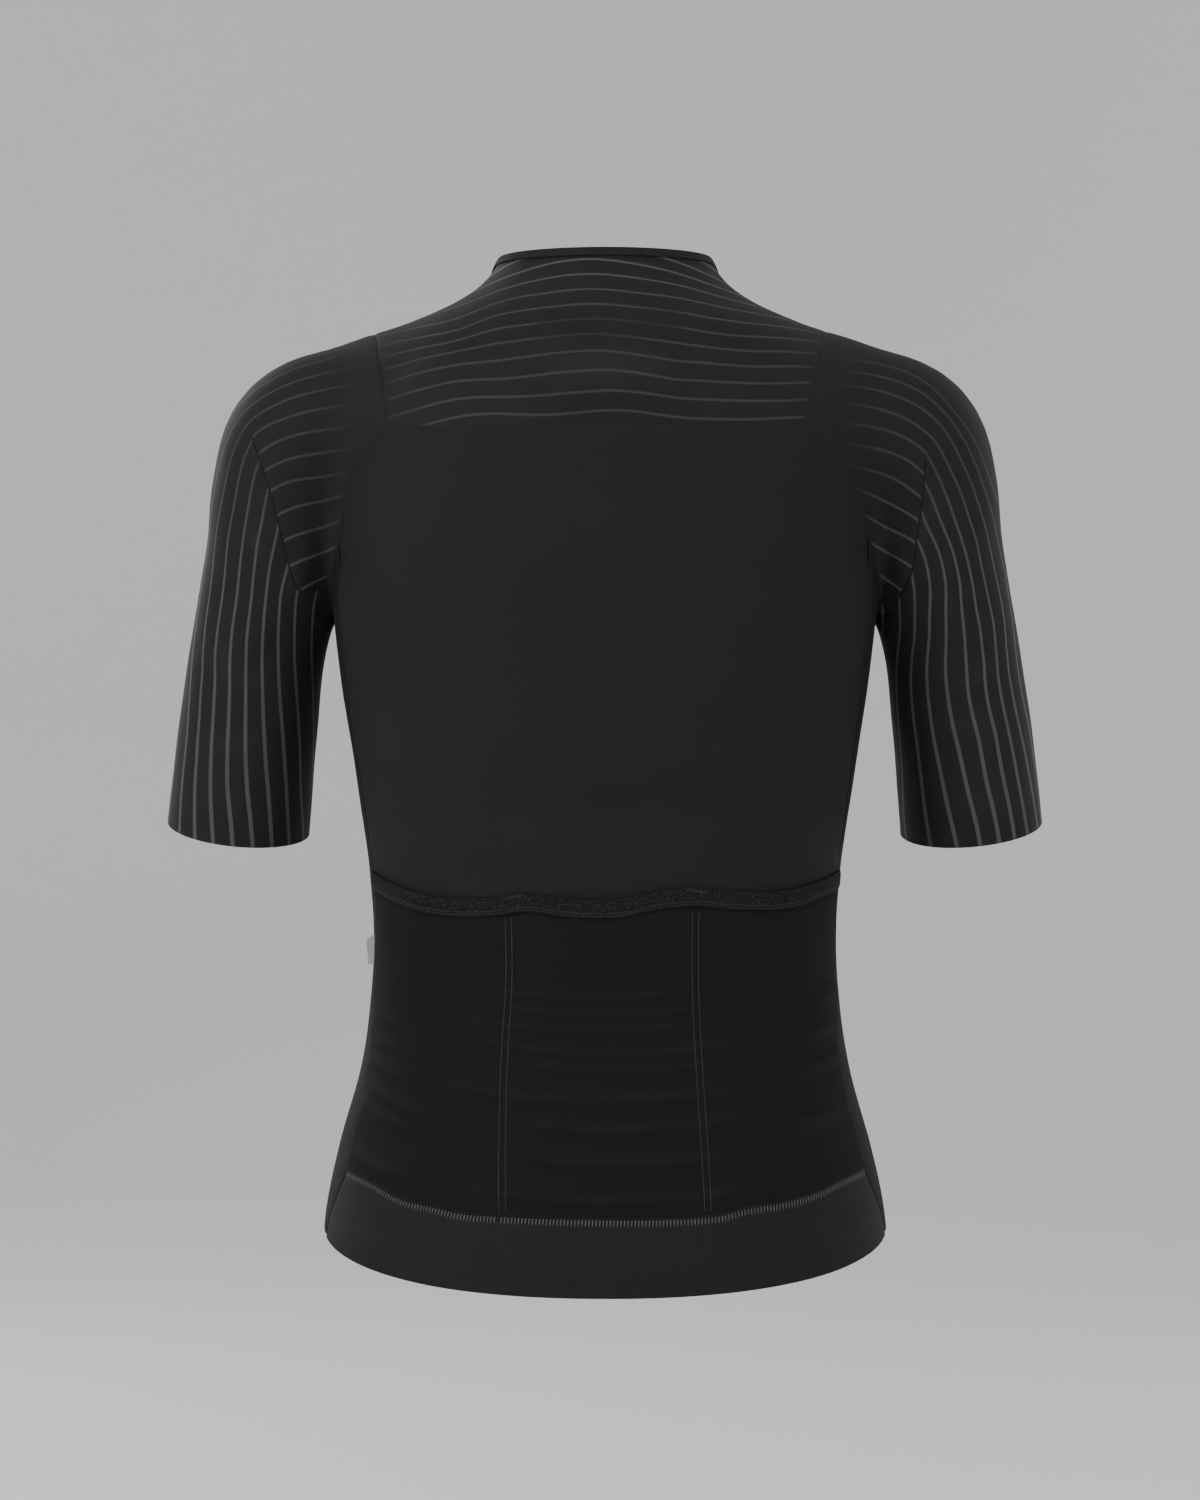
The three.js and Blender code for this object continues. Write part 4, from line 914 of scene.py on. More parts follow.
# The side panels' knit is the plain knit made darker: painted shade on the sides, which turn away from
# the front.
SHADED_SIDE_KNIT = knit("side_knit_painted_shade", 0.0115, 0.85)
for name, side in (("left", LEFT), ("right", RIGHT)):
    u, v = close_steps(78, 2.4), np.union1d(close_steps(415, 2.5), [BAND_STARTS])
    back_end, front_end = side["band_side"][-1], side["front_side"][-1]
    foot = hem_point(back_end + (front_end - back_end) * u[:, None])
    rows = sheet_between(
        joined([side["underarm"], side["underarm_front"]], [0.5], u), foot,
        joined([side["side"], side["band_side"]], [BAND_STARTS], v), seam(side["front_side"], v),
        u, v)
    normal = form_normal(rows)
    crest = folds(rows, normal, SIDE_FOLDS)
    height = crest + ripple(rows, 0.6) + seam_dip(edge_distance(rows, "tlr"))
    panel = cloth_wall(f"side_cloth_{name}", rows, normal, height, SHADED_SIDE_KNIT,
                       {"crest": 0.3 * crest})
    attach(panel, "jersey")
    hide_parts(f"side_panel_{name}")

# Fronts: two plain halves from the zip to the armhole and side seam. The picture shows the back
# alone, so they are finished as such a jersey usually is.
ZIP_HALF = 7.5
ZIP_TURN = 180 - math.degrees(math.atan(ZIP_HALF / 66))


def beside(x, z):
    """Places down the centre front at a distance from the zip's middle."""
    x, z = np.broadcast_arrays(np.asarray(x, float), np.asarray(z, float))
    reach = ring_reach(np.zeros_like(x), -np.ones_like(x), z)
    return settle(np.stack([x, -reach, z], -1))


FRONT_FOLDS = [
    (-1, [(140, -365), (100, -378), (60, -392)], 11, 2.2),
    (-1, [(-140, -362), (-98, -380), (-56, -396)], 11, 2.2),
    (-1, [(150, -150), (120, -176), (84, -196)], 12, -2.4),
    (-1, [(-150, -150), (-118, -174), (-84, -196)], 12, -2.4),
    (-1, [(146, -196), (118, -210), (92, -214)], 8, 1.0),
    (-1, [(-146, -192), (-116, -208), (-88, -216)], 8, 1.1),
    (-1, [(138, -330), (110, -340), (70, -342)], 7, 0.9),
    (-1, [(-138, -326), (-106, -338), (-72, -344)], 7, 0.8),
    (-1, [(136, -395), (104, -408), (66, -414)], 6, 1.0),
    (-1, [(-136, -400), (-100, -412), (-60, -416)], 6, 0.9),
    (-1, [(140, -428), (112, -440), (80, -444)], 6, 0.8),
    (-1, [(-140, -424), (-108, -440), (-74, -446)], 6, 0.9),
    (-1, [(60, -300), (36, -306), (14, -300)], 6, 0.5),
    (-1, [(-14, -352), (-40, -360), (-66, -356)], 6, 0.5),
    (-1, [(126, -62), (104, -84), (92, -110)], 9, 0.8),
    (-1, [(-126, -64), (-106, -86), (-90, -112)], 9, 0.8),
    (-1, [(150, -520), (110, -528), (60, -524)], 8, 0.6),
    (-1, [(-148, -516), (-106, -526), (-64, -524)], 8, 0.6),
]
NECK_SHARE, ARMHOLE_SHARE = 0.5, 0.24
front_halves = []
for name, side, sign in (("left", LEFT, 1), ("right", RIGHT, -1)):
    zip_top = neck_edge(np.array([sign * ZIP_TURN]))[0]
    zip_foot = hem_point(beside([sign * ZIP_HALF], [HEM_LEVEL]))[0]
    u = np.union1d(close_steps(190, 2.5), [NECK_SHARE])
    v = np.union1d(close_steps(560, 2.7), [ARMHOLE_SHARE])
    neck = neck_edge(sign * (ZIP_TURN + (SHOULDER_TURN - ZIP_TURN) * u[u < NECK_SHARE] / NECK_SHARE))
    shoulder = seam(side["shoulder"], (u[u >= NECK_SHARE] - NECK_SHARE) / (1 - NECK_SHARE))
    top = np.vstack([neck, shoulder])
    inner = beside(np.full(len(v), sign * ZIP_HALF), zip_top[2] + (zip_foot[2] - zip_top[2]) * v)
    inner[0], inner[-1] = zip_top, zip_foot
    foot = hem_point(zip_foot + (side["front_side"][-1] - zip_foot) * u[:, None])
    outer = joined([side["armhole_front"][::-1], side["front_side"]], [ARMHOLE_SHARE], v)
    rows = sheet_between(top, foot, inner, outer, u, v)
    normal = form_normal(rows)
    crest = folds(rows, normal, FRONT_FOLDS)
    height = crest + ripple(rows, 0.6)
    height += seam_dip(edge_distance(rows, "tr")) + seam_dip(edge_distance(rows, "l"), 0.6, 2.0)
    half = cloth_wall(f"front_cloth_{name}", rows, normal, height, PLAIN, {"crest": 0.2 * crest})
    front_halves.append(half)
    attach(half, "jersey")
    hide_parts(f"front_{name}")

# Sleeves: each is one striped piece with its shoulder, from the yoke and raglan seams over the
# cap to a raw-cut cuff. The stripes run level over the shoulder and down the arm; behind, they
# meet at an angle along a dart, and above its tip they curve over the cap.
DART_LEFT = [[212, 37, -86], [207, 41, -100], [202, 42, -115], [196, 40, -136], [194, 38, -145],
             [190, 34, -162], [185.5, 28, -177.5]]
DART_RIGHT = [[192, 46, -97], [190, 43, -120], [187, 37, -146], [183.5, 30, -170],
              [175, 17.5, -186]]
# A sleeve's stripes are seen from the body's side of its dart, -1, and from the arm's side, +1.
LEFT_CORNER, RIGHT_CORNER = (160, 320), (780, 320)
STRIPES_LEFT = {-1: {
    3: [(310, 322), (370, 298), (420, 280), (455, 272)],
    4: [(315, 388), (350, 365), (400, 348), (460, 335), (585, 315)],
    5: [(330, 442), (380, 420), (455, 403)],
    6: [(368, 492), (400, 483), (455, 475)],
    7: [(385, 570), (420, 558), (465, 547)],
    8: [(375, 662), (400, 648), (445, 635)],
    9: [(385, 740), (430, 718)]}, 1: {
    1: [(79, 1260), (65, 1400), (59, 1500)],
    2: [(310, 275), (275, 300), (240, 350), (210, 430), (190, 520), (170, 640), (145, 850),
        (127, 1020), (112, 1260), (105, 1400), (103, 1500)],
    3: [(275, 365), (245, 440), (225, 540), (205, 650), (190, 800), (170, 950), (166, 1020),
        (157, 1260), (152, 1400), (154, 1500)],
    4: [(297, 428), (275, 500), (255, 620), (240, 740), (225, 870), (211, 1020), (204, 1260),
        (202, 1400), (212, 1500)],
    5: [(325, 503), (308, 590), (290, 700), (275, 830), (260, 960), (258, 1020), (256, 1260),
        (261, 1400), (271, 1500)],
    6: [(350, 640), (330, 730), (318, 830), (310, 930), (306, 1020), (313, 1260), (323, 1400),
        (331, 1500)],
    7: [(385, 740), (365, 810), (355, 920), (356, 1020), (370, 1260), (379, 1400), (384, 1500)],
    8: [(412, 815), (405, 900), (404, 1020), (418, 1260), (421, 1400)]}}
STRIPES_RIGHT = {-1: {
    4: [(120, 293), (210, 310), (300, 325), (370, 350), (420, 383)],
    5: [(190, 365), (280, 385), (350, 405), (410, 441)],
    6: [(230, 440), (340, 475), (400, 515)],
    7: [(350, 562), (390, 585)],
    8: [(345, 635), (395, 660)]}, 1: {
    0: [(270, 128), (390, 160), (470, 215), (520, 275)],
    1: [(180, 155), (330, 178), (400, 205), (460, 245), (510, 295), (560, 375), (607, 490)],
    2: [(150, 190), (240, 200), (300, 213), (360, 232), (420, 262), (470, 303), (510, 355),
        (575, 490), (610, 600), (627, 666), (665, 850), (682, 1020), (727, 1260), (755, 1400),
        (770, 1500)],
    3: [(130, 240), (200, 250), (270, 262), (350, 285), (420, 325), (470, 375), (500, 430),
        (530, 490), (560, 570), (590, 660), (610, 760), (640, 900), (649, 1020), (691, 1260),
        (718, 1400), (736, 1500)],
    4: [(445, 410), (460, 440), (480, 480), (500, 530), (530, 620), (548, 680), (570, 760),
        (590, 880), (611, 1020), (649, 1260), (675, 1400), (696, 1500)],
    5: [(430, 480), (465, 560), (490, 620), (520, 690), (540, 780), (550, 900), (558, 1020),
        (596, 1260), (622, 1400), (647, 1500)],
    6: [(425, 575), (440, 620), (470, 680), (490, 750), (497, 850), (496, 1020), (529, 1260),
        (561, 1400), (586, 1500)],
    7: [(415, 665), (440, 740), (450, 800), (447, 900), (441, 1020), (460, 1260), (490, 1400),
        (512, 1500)],
    8: [(405, 870), (405, 940), (396, 1020), (409, 1260), (426, 1400), (439, 1500)]}}


AXIS_STEP = 0.05


def arm_axes(station):
    """The arm's row of its tube at a station, with the ways along it, to its back and outward."""
    row = read_table(SLEEVE_TUBE, station)
    ahead, behind = [read_table(SLEEVE_TUBE, station + step)[..., :3]
                     for step in (AXIS_STEP, -AXIS_STEP)]
    along = (ahead - behind) / np.linalg.norm(ahead - behind, axis=-1, keepdims=True)
    rear = np.array([0, 1, 0]) - along * along[..., 1:2]
    rear /= np.linalg.norm(rear, axis=-1, keepdims=True)
    return row, along, rear, np.cross(along, rear)


def sleeve_ring(station, sign, shares, first):
    """Places round the sleeve's tube, square to its line."""
    row, _, rear, outward = arm_axes(np.array([station]))
    angle = (first + shares * 2 * math.pi)[:, None]
    p = row[:, :3] + row[:, 3:4] * (outward * np.cos(angle) + rear * np.sin(angle))
    return p * [sign, 1, 1]


def swing(start, end, share, sign):
    """Points on the way round the armpit from the armhole to the first ring of the sleeve."""
    pivot = np.array([167 * sign, -188])
    flat = [p[:, ::2] - pivot for p in (start, end)]
    angles = [np.arctan2(q[:, 1], q[:, 0] * sign) for q in flat]
    reaches = [np.hypot(q[:, 0], q[:, 1]) for q in flat]
    angles[1] = np.where(angles[1] > angles[0], angles[1] - 2 * math.pi, angles[1])
    angle = angles[0] + (angles[1] - angles[0]) * share
    reach = reaches[0] + (reaches[1] - reaches[0]) * share
    y = start[:, 1] + (end[:, 1] - start[:, 1]) * share
    return np.stack([pivot[0] + sign * reach * np.cos(angle), y,
                     pivot[1] + reach * np.sin(angle)], -1)


RIDGE, RIDGE_VALUE, LOWEST = math.radians(24), -0.5, -0.2


def off_ridge(p):
    """Each point turned round its sleeve to the back and off the outer line, with the share of
    that turn that it makes itself, and how far in front of the sleeve's middle it lies."""
    row, along, rear, outward = arm_axes(sleeve_gap(p)[1])
    off = np.abs(p) * [1, 0, 0] + p * [0, 1, 1] - row[..., :3]
    ahead, back, out = [np.sum(off * way, -1, keepdims=True) for way in (along, rear, outward)]
    angle = np.abs(np.arctan2(back, out))
    turned = np.maximum(angle, RIDGE)
    place = row[..., :3] + along * ahead + np.hypot(back, out) * (
        outward * np.cos(turned) + rear * np.sin(turned))
    return place, np.minimum(angle / RIDGE, 1)[..., 0], ease(-back[..., 0] / 30)


def beside_dart(p, dart, seen_from, front):
    """Each point with a fourth measure that holds the two sides of the dart apart and runs
    together above its tip. seen_from is -1 for the body's side and +1 for the arm's."""
    line = smooth_line(dart, even_steps(40))
    tip = line[0]
    x, z = np.abs(p[..., 0]), p[..., 2]
    lean = (line[1, 0] - tip[0]) / (line[1, 2] - tip[2])
    line_x = np.where(z < tip[2], np.interp(-z, -line[:, 2], line[:, 0]), tip[0] + lean * (z - tip[2]))
    turn = np.arctan2(x - line_x, z - tip[2])
    beyond = turn * seen_from < math.radians(-120)
    part = 5 * np.sqrt(np.hypot(x - line_x, z - tip[2]))
    part = part * np.sin((turn + seen_from * 2 * math.pi * beyond) / 2)
    part += (np.abs(part) - part) * front
    shown_from = np.where((front == 0) & (z > line[-1, 2]), x - line_x, 1.0)
    return np.stack([x, p[..., 1], z, part], -1), shown_from


def stripe_marks(p, dart, corner, stripes):
    """The two sets of stripes of a sleeve, and which of them shows at each point. The hidden
    front repeats the back, and no stripe crosses the outer line between them."""
    guides = []
    for seen_from, own in stripes.items():
        spots = read_off(corner, own)
        at = beside_dart(spots[:, :3], dart, seen_from, 0)[0]
        guides.append(np.column_stack([at, spots[:, 3]]))
    field = guided(np.vstack(guides))
    place, share, front = off_ridge(p)
    level, _ = beside_dart(place, dart, -1, front)
    down, side = beside_dart(place, dart, 1, front)
    level, down = [RIDGE_VALUE + (np.maximum(field(at), LOWEST) - RIDGE_VALUE) * share
                   for at in (level, down)]
    return level, down, side


SLEEVE_FOLDS_LEFT = [
    (1, [(213, -138), (208, -152), (203, -165)], 4.5, 1.0),
    (1, [(176, -150), (184, -166), (188, -182)], 6, 0.9),
    (1, [(244, -210), (226, -226), (206, -232)], 7, 0.8),
    (1, [(196, -205), (212, -222), (226, -228)], 6, -0.7),
    (1, [(200, -262), (222, -272), (246, -268)], 9, 0.6),
    (-1, [(246, -200), (226, -220), (200, -230)], 8, 0.9),
    (-1, [(190, -200), (206, -222), (226, -236)], 7, -0.8),
    (-1, [(176, -120), (190, -146), (196, -170)], 9, 1.2),
]
SLEEVE_FOLDS_RIGHT = [
    (1, [(-196, -124), (-190, -140), (-185, -158)], 4.5, 1.0),
    (1, [(-170, -142), (-178, -162), (-184, -178)], 6, 0.8),
    (1, [(-244, -214), (-224, -228), (-202, -230)], 7, 0.7),
    (1, [(-198, -252), (-222, -264), (-246, -262)], 8, 0.7),
    (1, [(-206, -300), (-226, -306), (-250, -300)], 9, 0.5),
    (-1, [(-244, -204), (-224, -222), (-200, -230)], 8, 0.9),
    (-1, [(-192, -196), (-208, -220), (-228, -234)], 7, -0.8),
    (-1, [(-174, -118), (-188, -144), (-194, -168)], 9, 1.1),
]
CAP_STATION, CUFF_STATION = 5.0, 6.86
HOLE_BREAKS = [0.27, 0.45, 0.56, 0.69]
ROUND_STEPS, CAP_STEPS, ARM_STEPS = 190, 150, 112
for name, side, sign, dart, corner, stripes, stripe_shade_x, rows_of_folds in (
        ("left", LEFT, 1, DART_LEFT, LEFT_CORNER, STRIPES_LEFT, 148, SLEEVE_FOLDS_LEFT),
        ("right", RIGHT, -1, DART_RIGHT, RIGHT_CORNER, STRIPES_RIGHT, 138, SLEEVE_FOLDS_RIGHT)):
    shares = np.union1d(np.arange(ROUND_STEPS) / ROUND_STEPS, HOLE_BREAKS)
    hole = joined([side["yoke_side"], side["raglan"], side["underarm"], side["underarm_front"],
                   side["armhole_front"]], HOLE_BREAKS, shares)
    first = math.pi - HOLE_BREAKS[2] * 2 * math.pi
    ring = sleeve_ring(CAP_STATION, sign, shares, first)
    cap = close_steps(CAP_STEPS, 2.2)[:-4]
    arm = close_steps(ARM_STEPS, 2.2)[4:]
    stations = CAP_STATION + (CUFF_STATION - CAP_STATION) * arm[arm > 0.03]
    rows = np.stack([settle(swing(hole, ring, share, sign)) for share in cap[cap < 0.995]]
                    + [settle(sleeve_ring(station, sign, shares, first)) for station in stations])
    normal = form_normal(rows)
    level, down, which = stripe_marks(rows, dart, corner, stripes)
    from_hole = np.cumsum(np.linalg.norm(np.diff(rows, axis=0, prepend=rows[:1]), axis=-1), 0)
    dart_line = seam(np.array(dart) * [sign, 1, 1], even_steps(60))
    to_dart = np.min(np.linalg.norm(rows[:, :, None] - dart_line[None, None, ::2], axis=-1), -1)
    crest = folds(rows, normal, rows_of_folds)
    height = crest + ripple(rows, 0.6)
    height += seam_dip(from_hole) + seam_dip(to_dart, 0.35, 1.8)
    x, z = np.abs(rows[..., 0]), rows[..., 2]
    # Stripe strength: dimmed almost away inward of the given x, where the sleeve turns in towards the
    # body under the arm, as painted shade. The stripes are also weaker towards the top of the cap and
    # stop short of the armhole seam.
    light = np.clip((x - stripe_shade_x) / 30, 0.06, 1) * (0.4 + 0.6 * ease((-z - 90) / 100))
    slope = np.where(which > 0, steepness(down, rows), steepness(level, rows))
    sleeve = cloth_wall(
        f"sleeve_cloth_{name}", rows, normal, height, STRIPED, {
            "stripe_one": level, "stripe_other": down, "stripe_side": which,
            "seam_here": np.clip((dart[0][2] - z) / 4, 0, 1), "crest": crest,
            "stripe_half": slope * (0.8 + 0.5 * ease((-z - 170) / 150)),
            "stripe_strength_and_shade": light * np.clip((from_hole - 1.0) / 1.5, 0, 1)}, ring=True)
    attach(sleeve, "jersey")
    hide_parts(f"sleeve_{name}")

# Collar: the neck edge of yoke and fronts, bound with a narrow elastic. The binding folds over
# the edge from outside to inside and is stitched through twice.
u = even_steps(300)
edge = neck_edge(ZIP_TURN - 2 * ZIP_TURN * u)
turn_over = np.radians(np.linspace(0, 180, 9))
profile = np.vstack([
    np.stack([np.full(5, 1.6), np.linspace(-4.2, -0.6, 5)], -1),
    np.stack([1.6 * np.cos(turn_over), 1.6 * np.sin(turn_over)], -1),
    np.stack([np.full(5, -1.6), np.linspace(-0.6, -4.2, 5)], -1)])
lean = np.vstack([np.tile([1.0, 0.0], (5, 1)), np.stack([np.cos(turn_over), np.sin(turn_over)], -1),
                  np.tile([-1.0, 0.0], (5, 1))])
out = form_normal(edge)
down = settle(edge - [0, 0, 3]) - edge
up = -down / np.linalg.norm(down, axis=1, keepdims=True)
rows = (edge - 0.6 * out)[None] + profile[:, :1, None] * out + profile[:, 1:, None] * up
normal = lean[:, :1, None] * out + lean[:, 1:, None] * up
binding = cloth_wall("neck_binding", rows, normal, 0.0, ELASTIC, wall=0.85)
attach(binding, "jersey")
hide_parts("collar_binding")

# Front zip: two woven tapes behind the fronts' edges and a fine coil down the middle, with a
# lacquered slider at the top whose pull tab swings.
TAPE = knit("zip_tape_weave", 0.014, 0.85, 0.00006, 0.0007, 0.0007)


def zip_line(x, top, steps):
    """Places down the front at x from the zip's middle, from a top level to the hem."""
    foot = hem_point(beside([x], [HEM_LEVEL]))[0]
    return beside(np.full(steps, x), top + (foot[2] - top) * np.linspace(0, 1, steps))


TAPE_TOP, TAPE_OUTER, TAPE_INNER, TAPE_WALL = -27, 12.8, 0.5, 1.0
for name, sign in (("left", 1), ("right", -1)):
    rows = np.stack([zip_line(sign * x, TAPE_TOP, 240)
                     for x in np.linspace(TAPE_OUTER, TAPE_INNER, 14)], 1)
    normal = form_normal(rows)
    from_middle = np.abs(rows[..., 0])
    depth = 0.2 + 1.2 * ease((from_middle - 5.4) / 2) + 0.8 * ease((3.6 - from_middle) / 1.4)
    tape = cloth_wall(f"tape_{name}", rows, normal, -depth, TAPE, wall=TAPE_WALL)
    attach(tape, "jersey")
    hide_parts(f"zip_tape_{name}")


def thread_tree():
    """Lays a small rounded bar at each point, turned by the point's own way and outward way."""
    tree = bpy.data.node_groups.new("laid_threads", "GeometryNodeTree")
    sockets = {}
    for name, kind in (("Places", "Geometry"), ("Length", "Float"), ("Width", "Float"),
                       ("Height", "Float"), ("Thread", "Material")):
        item = tree.interface.new_socket(name, in_out="INPUT", socket_type=f"NodeSocket{kind}")
        sockets[name] = item.identifier
    tree.interface.new_socket("Bars", in_out="OUTPUT", socket_type="NodeSocketGeometry")

    def add(kind, settings, **links):
        node = tree.nodes.new(kind)
        for key, value in settings.items():
            setattr(node, key, value)
        for key, value in links.items():
            if isinstance(value, bpy.types.NodeSocket):
                tree.links.new(value, node.inputs[key.replace("_", " ")])
            else:
                node.inputs[key].default_value = value
        return node

    given = add("NodeGroupInput", {}).outputs
    bar = add("GeometryNodeMeshUVSphere", {}, Segments=6, Rings=4, Radius=0.5).outputs[0]
    way, out = [add("GeometryNodeInputNamedAttribute", {"data_type": "FLOAT_VECTOR"},
                    Name=name).outputs["Attribute"] for name in ("way", "out")]
    turned = add("FunctionNodeAlignRotationToVector", {"axis": "X"}, Vector=way).outputs[0]
    turned = add("FunctionNodeAlignRotationToVector", {"axis": "Z", "pivot_axis": "X"},
                 Rotation=turned, Vector=out).outputs[0]
    size = add("ShaderNodeCombineXYZ", {}, X=given["Length"], Y=given["Width"],
               Z=given["Height"]).outputs[0]
    laid = add("GeometryNodeInstanceOnPoints", {}, Points=given["Places"], Instance=bar,
               Rotation=turned, Scale=size).outputs[0]
    smooth = add("GeometryNodeSetShadeSmooth", {}, Geometry=laid).outputs[0]
    real = add("GeometryNodeRealizeInstances", {}, Geometry=smooth).outputs[0]
    done = add("GeometryNodeSetMaterial", {}, Geometry=real, Material=given["Thread"]).outputs[0]
    add("NodeGroupOutput", {}, Bars=done)
    return tree, sockets


THREADS, THREAD_SOCKETS = thread_tree()


def laid_bars(name, rows, size, thread):
    """One piece of small bars: rows of (middles, ways, outward ways) in mm, one size for all."""
    middles, ways, outs = [np.concatenate(part) for part in zip(*rows)]
    mesh = bpy.data.meshes.new(name)
    mesh.vertices.add(len(middles))
    mesh.vertices.foreach_set("co", (middles / 1000).astype(np.float32).ravel())
    for title, values in (("way", ways), ("out", outs)):
        layer = mesh.attributes.new(title, "FLOAT_VECTOR", "POINT")
        layer.data.foreach_set("vector", values.astype(np.float32).ravel())
    piece = bpy.data.objects.new(name, mesh)
    bpy.context.scene.collection.objects.link(piece)
    bars = piece.modifiers.new("bars", "NODES")
    bars.node_group = THREADS
    for key, value in zip(("Length", "Width", "Height"), size):
        bars[THREAD_SOCKETS[key]] = value / 1000
    bars[THREAD_SOCKETS["Thread"]] = thread
    made = bpy.data.meshes.new_from_object(
        piece.evaluated_get(bpy.context.evaluated_depsgraph_get()))
    piece.modifiers.remove(bars)
    piece.data = made
    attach(piece, "jersey")
    return piece


def satin(name, tone, roughness, **fixed):
    """A smooth hard finish of one tone, slightly uneven in its shine."""
    finish = Finish(name, **fixed)
    return finish.set(base_color=finish.colour(tone * 0.8, tone * 1.2, finish.cloud(80.0)),
                      roughness=roughness + finish.cloud(260.0) * 0.16)


CHAIN_TOP, COIL_STEPS, COIL_SHIFT = -30, 860, 0.65
line = zip_line(0, CHAIN_TOP, COIL_STEPS)
sideways = np.where(np.arange(COIL_STEPS) % 2, COIL_SHIFT, -COIL_SHIFT)[:, None] * [1, 0, 0]
coil = laid_bars("zip_coil", [(line + sideways, np.tile([1.0, 0.0, 0.0], (COIL_STEPS, 1)),
                               form_normal(line))],
                 (3.9, 0.86, 1.5), satin("nylon_coil", 0.012, 0.4))
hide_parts("zip_chain")
LACQUER = satin("black_lacquer", 0.016, 0.24, coat_weight=0.35, coat_roughness=0.15)
for node in ("zip_slider", "zip_pull"):
    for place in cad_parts[node].material_slots:
        place.material = LACQUER

# Side label: a small blank ribbon folded in two and caught in the wearer's left side seam. It
# stands a little off the cloth, and its top edge is cut at a slant.
RIBBON = Finish("blank_ribbon", specular_ior_level=0.3)
across, down = RIBBON.over_cloth()
weave = (across * (2 * math.pi / 0.0006)).wave() * (down * (2 * math.pi / 0.0006)).wave() * 0.5 + 0.5
RIBBON.set(base_color=RIBBON.colour(0.20, 0.34, (weave * 0.6 + RIBBON.cloud(300.0) * 0.4).cut()),
           roughness=0.7 + weave * 0.1, normal=RIBBON.raised(weave, 0.00005))
LABEL_TURN, LABEL_SPAN, LABEL_TOP, LABEL_DEEP = 81, 4, -386, 18
u, v = even_steps(14), even_steps(24)
share, drop = np.meshgrid(u, v)
rows = settle(round_body(LABEL_TURN + LABEL_SPAN * share,
                         LABEL_TOP - LABEL_DEEP * drop - 3 * share * (1 - drop)))
normal = form_normal(rows)
height = 1.7 + 2.4 * share + 0.5 * share * np.sin(drop * 5 + 0.6)
label = cloth_wall("side_ribbon", rows, normal, height, RIBBON.material, wall=0.9)
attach(label, "jersey")
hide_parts("side_label")

# Sewing: each row of thread is laid on the finished cloth, one small rounded bar a stitch. The
# hem's ladder is the widest; pockets, mouths, collar and zip have fine rows.
def on_cloth(places, pieces, proud):
    """Places dropped onto the outermost of some cloth pieces, along the form's outward way."""
    graph = bpy.context.evaluated_depsgraph_get()
    trees = [BVHTree.FromObject(piece, graph) for piece in pieces]
    outs = form_normal(places)
    landed = settle(places, 1.2)
    for k, (place, out) in enumerate(zip(places, outs)):
        start = Vector((place + out * 14) / 1000)
        hits = [tree.ray_cast(start, Vector(-out), 0.03) for tree in trees]
        hits = [hit for hit in hits if hit[0] is not None]
        if hits:
            landed[k] = np.array(min(hits, key=lambda hit: hit[3])[0]) * 1000
    return landed + outs * proud, outs


def stitch_row(line, pieces, pitch, lean=0.0, proud=0.05, swap=False):
    """Stitches at even steps along a line on the cloth, turned by an angle to it; with swap the
    angle changes sides from stitch to stitch."""
    length = np.concatenate([[0], np.cumsum(np.linalg.norm(np.diff(line, axis=0), axis=1))])
    count = int(length[-1] / pitch)
    at = (np.arange(count) + 0.5) * length[-1] / count
    middles, ahead = [np.stack([np.interp(spot, length, line[:, k]) for k in range(3)], -1)
                      for spot in (at, at + 0.5)]
    ahead = np.where((at + 0.5 < length[-1])[:, None], ahead - middles, line[-1] - line[-2])
    landed, outs = on_cloth(middles, pieces, proud)
    way = ahead - outs * np.sum(ahead * outs, -1, keepdims=True)
    way /= np.linalg.norm(way, axis=1, keepdims=True)
    turn = np.radians(lean) * (np.where(np.arange(count) % 2, -1, 1) if swap else np.ones(count))
    way = way * np.cos(turn)[:, None] + np.cross(outs, way) * np.sin(turn)[:, None]
    return landed, way, outs


def thread(name, tone):
    finish = Finish(name, specular_ior_level=0.35, roughness=0.6)
    return finish.set(base_color=finish.colour(tone * 0.7, tone * 1.25, finish.cloud(500.0)))


DARK_THREAD, GREY_THREAD = thread("dark_thread", 0.026), thread("grey_thread", 0.050)
PALE_THREAD = thread("pale_thread", 0.095)
back_cloths = [back_panel, pocket_panel, pocket_binding, back_hem_band]
ladder = stitch_row(seam(BAND_SEAM, even_steps(600)), back_cloths, 2.05, 84, 0.1)
HEM_BREAK = (61.6, 63.6)
kept = (ladder[0][:, 0] < HEM_BREAK[0]) | (ladder[0][:, 0] > HEM_BREAK[1])
laid_bars("hem_ladder", [[part[kept] for part in ladder]], (5.3, 0.95, 0.55), PALE_THREAD)
edges = [settle(seam(BAND_SEAM, even_steps(600)) + [0, 0, rise]) for rise in (2.7, -2.5)]
laid_bars("hem_rows", [stitch_row(line, back_cloths, 2.05) for line in edges],
          (1.3, 0.4, 0.4), DARK_THREAD)
mouth_lines = [settle(seam(MOUTH, even_steps(600)[3:-3]) - [0, 0, fall]) for fall in (7.6, 9.2)]
laid_bars("mouth_zigzag", [
    stitch_row(mouth_lines[0], back_cloths, 1.15, 48, swap=True),
    stitch_row(mouth_lines[1], back_cloths, 1.5)], (1.25, 0.32, 0.36), GREY_THREAD)
DIVIDERS = [[[57, 84, -373], [57, 89, -409], [59, 95, -458], [59, 112, -541]],
            [[-53, 84, -369], [-53, 89, -421], [-55, 97, -478], [-59, 113, -541]]]
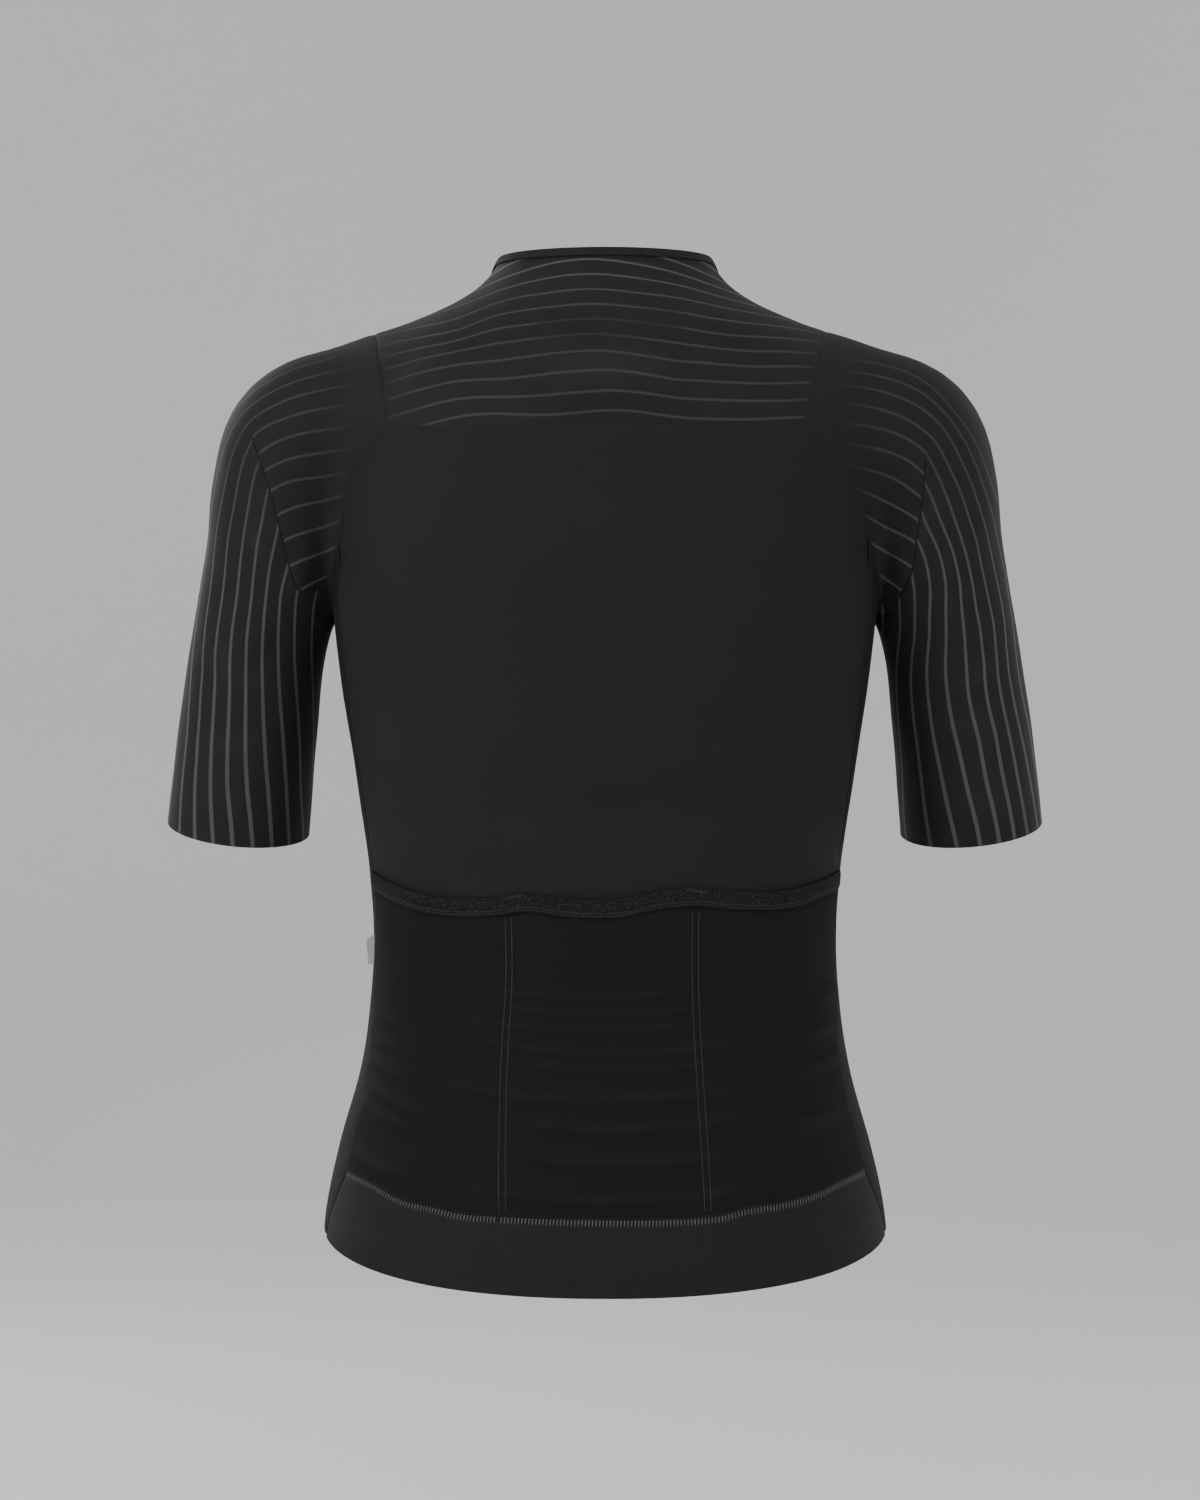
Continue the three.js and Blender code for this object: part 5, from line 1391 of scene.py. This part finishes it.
TACKS = [[[59.5, 82, -361.5], [54, 83, -360.5], [48.5, 84, -359.5]],
         [[-47.5, 84, -356.0], [-53, 83, -357], [-58.5, 82, -358]]]
rows = [stitch_row(settle(smooth_line(np.array(places) + [shift, 0, 0], even_steps(200))),
                   back_cloths, 1.35, 16, swap=True)
        for places in DIVIDERS for shift in (-1.95, 1.95)]
laid_bars("pocket_rows", rows, (1.0, 0.42, 0.36), PALE_THREAD)
laid_bars("bar_tacks", [stitch_row(settle(smooth_line(places, even_steps(30))), back_cloths,
                                   0.62, 78, 0.15) for places in TACKS],
          (1.9, 0.5, 0.6), DARK_THREAD)
collar_lines = [settle(neck_edge(ZIP_TURN - 2 * ZIP_TURN * even_steps(400)) - [0, 0, fall])
                for fall in (1.3, 3.1)]
laid_bars("collar_rows", [stitch_row(line[4:-4], [binding], 1.7) for line in collar_lines],
          (1.05, 0.34, 0.36), GREY_THREAD)
zip_edges = [zip_line(sign * (ZIP_HALF + 2.4), -34, 300) for sign in (1, -1)]
laid_bars("zip_rows", [stitch_row(line[:-3], front_halves, 2.5) for line in zip_edges],
          (1.7, 0.38, 0.36), DARK_THREAD)
front_hems = [hem_point(beside(np.linspace(sign * 14, sign * 136, 120), HEM_LEVEL)) + [0, 0, rise]
              for sign in (1, -1) for rise in (17, 20)]
laid_bars("front_hem_rows", [stitch_row(settle(line), front_halves, 2.4) for line in front_hems],
          (1.6, 0.38, 0.36), DARK_THREAD)

# Studio: a round pale floor that runs up into its own backdrop on all sides, soft lamps, and the
# camera square behind the jersey.
def studio_floor():
    turns = np.radians(np.arange(0, 360, 5))
    profile = [(0.0, -1.05), (1.5, -1.05), (3.2, -1.05), (3.9, -0.98), (4.4, -0.72),
               (4.7, -0.2), (4.8, 0.8), (4.8, 3.4)]
    r, z = np.array(profile).T
    points = np.stack([np.outer(r, np.cos(turns)), np.outer(r, np.sin(turns)),
                       np.repeat(z[:, None], len(turns), 1)], -1)
    index = np.arange(points[..., 0].size).reshape(points.shape[:2])
    after = np.roll(index, -1, 1)
    faces = np.stack([index[:-1], after[:-1], after[1:], index[1:]], -1).reshape(-1, 4)[:, ::-1]
    paper = Finish("pale_paper", base_color=(0.8, 0.8, 0.8, 1.0), roughness=0.95)
    return flat_mesh("studio_floor", points.reshape(-1, 3) * 1000, faces, paper.material)


studio_floor()


def lamp(name, place, aim, size, watts):
    light = bpy.data.lights.new(name, "AREA")
    light.shape, light.size, light.size_y, light.energy = "RECTANGLE", size[0], size[1], watts
    piece = bpy.data.objects.new(name, light)
    bpy.context.scene.collection.objects.link(piece)
    way = np.array(aim, float) - place
    piece.location = place
    piece.rotation_euler = Vector(way).to_track_quat("-Z", "Y").to_euler()


lamp("lamp_behind_left", (2.1, 1.7, 0.8), (0, 0, -0.25), (1.0, 1.6), 34)
lamp("lamp_behind_right", (-2.0, 1.6, 0.5), (0, 0, -0.3), (1.2, 1.8), 12)
lamp("lamp_above", (0, 0.6, 2.4), (0, 0, -0.2), (2.4, 2.4), 3)
lamp("lamp_front", (2.0, -2.1, 0.9), (0, 0, -0.25), (1.0, 1.6), 36)
lamp("lamp_front_right", (-2.2, -1.6, 0.4), (0, 0, -0.3), (1.2, 1.8), 12)
world = bpy.data.worlds.new("studio")
bpy.context.scene.world = world
world.use_nodes = True
world.node_tree.nodes["Background"].inputs[0].default_value = (0.97, 0.98, 1.0, 1)
world.node_tree.nodes["Background"].inputs[1].default_value = 0.72

lens = bpy.data.cameras.new("camera")
lens.lens, lens.sensor_fit, lens.sensor_height, lens.sensor_width = 85, "VERTICAL", 36, 36
camera = bpy.data.objects.new("camera", lens)
bpy.context.scene.collection.objects.link(camera)
camera.location = EYE / 1000
camera.rotation_euler = (math.pi / 2, 0, math.pi)
bpy.context.scene.camera = camera
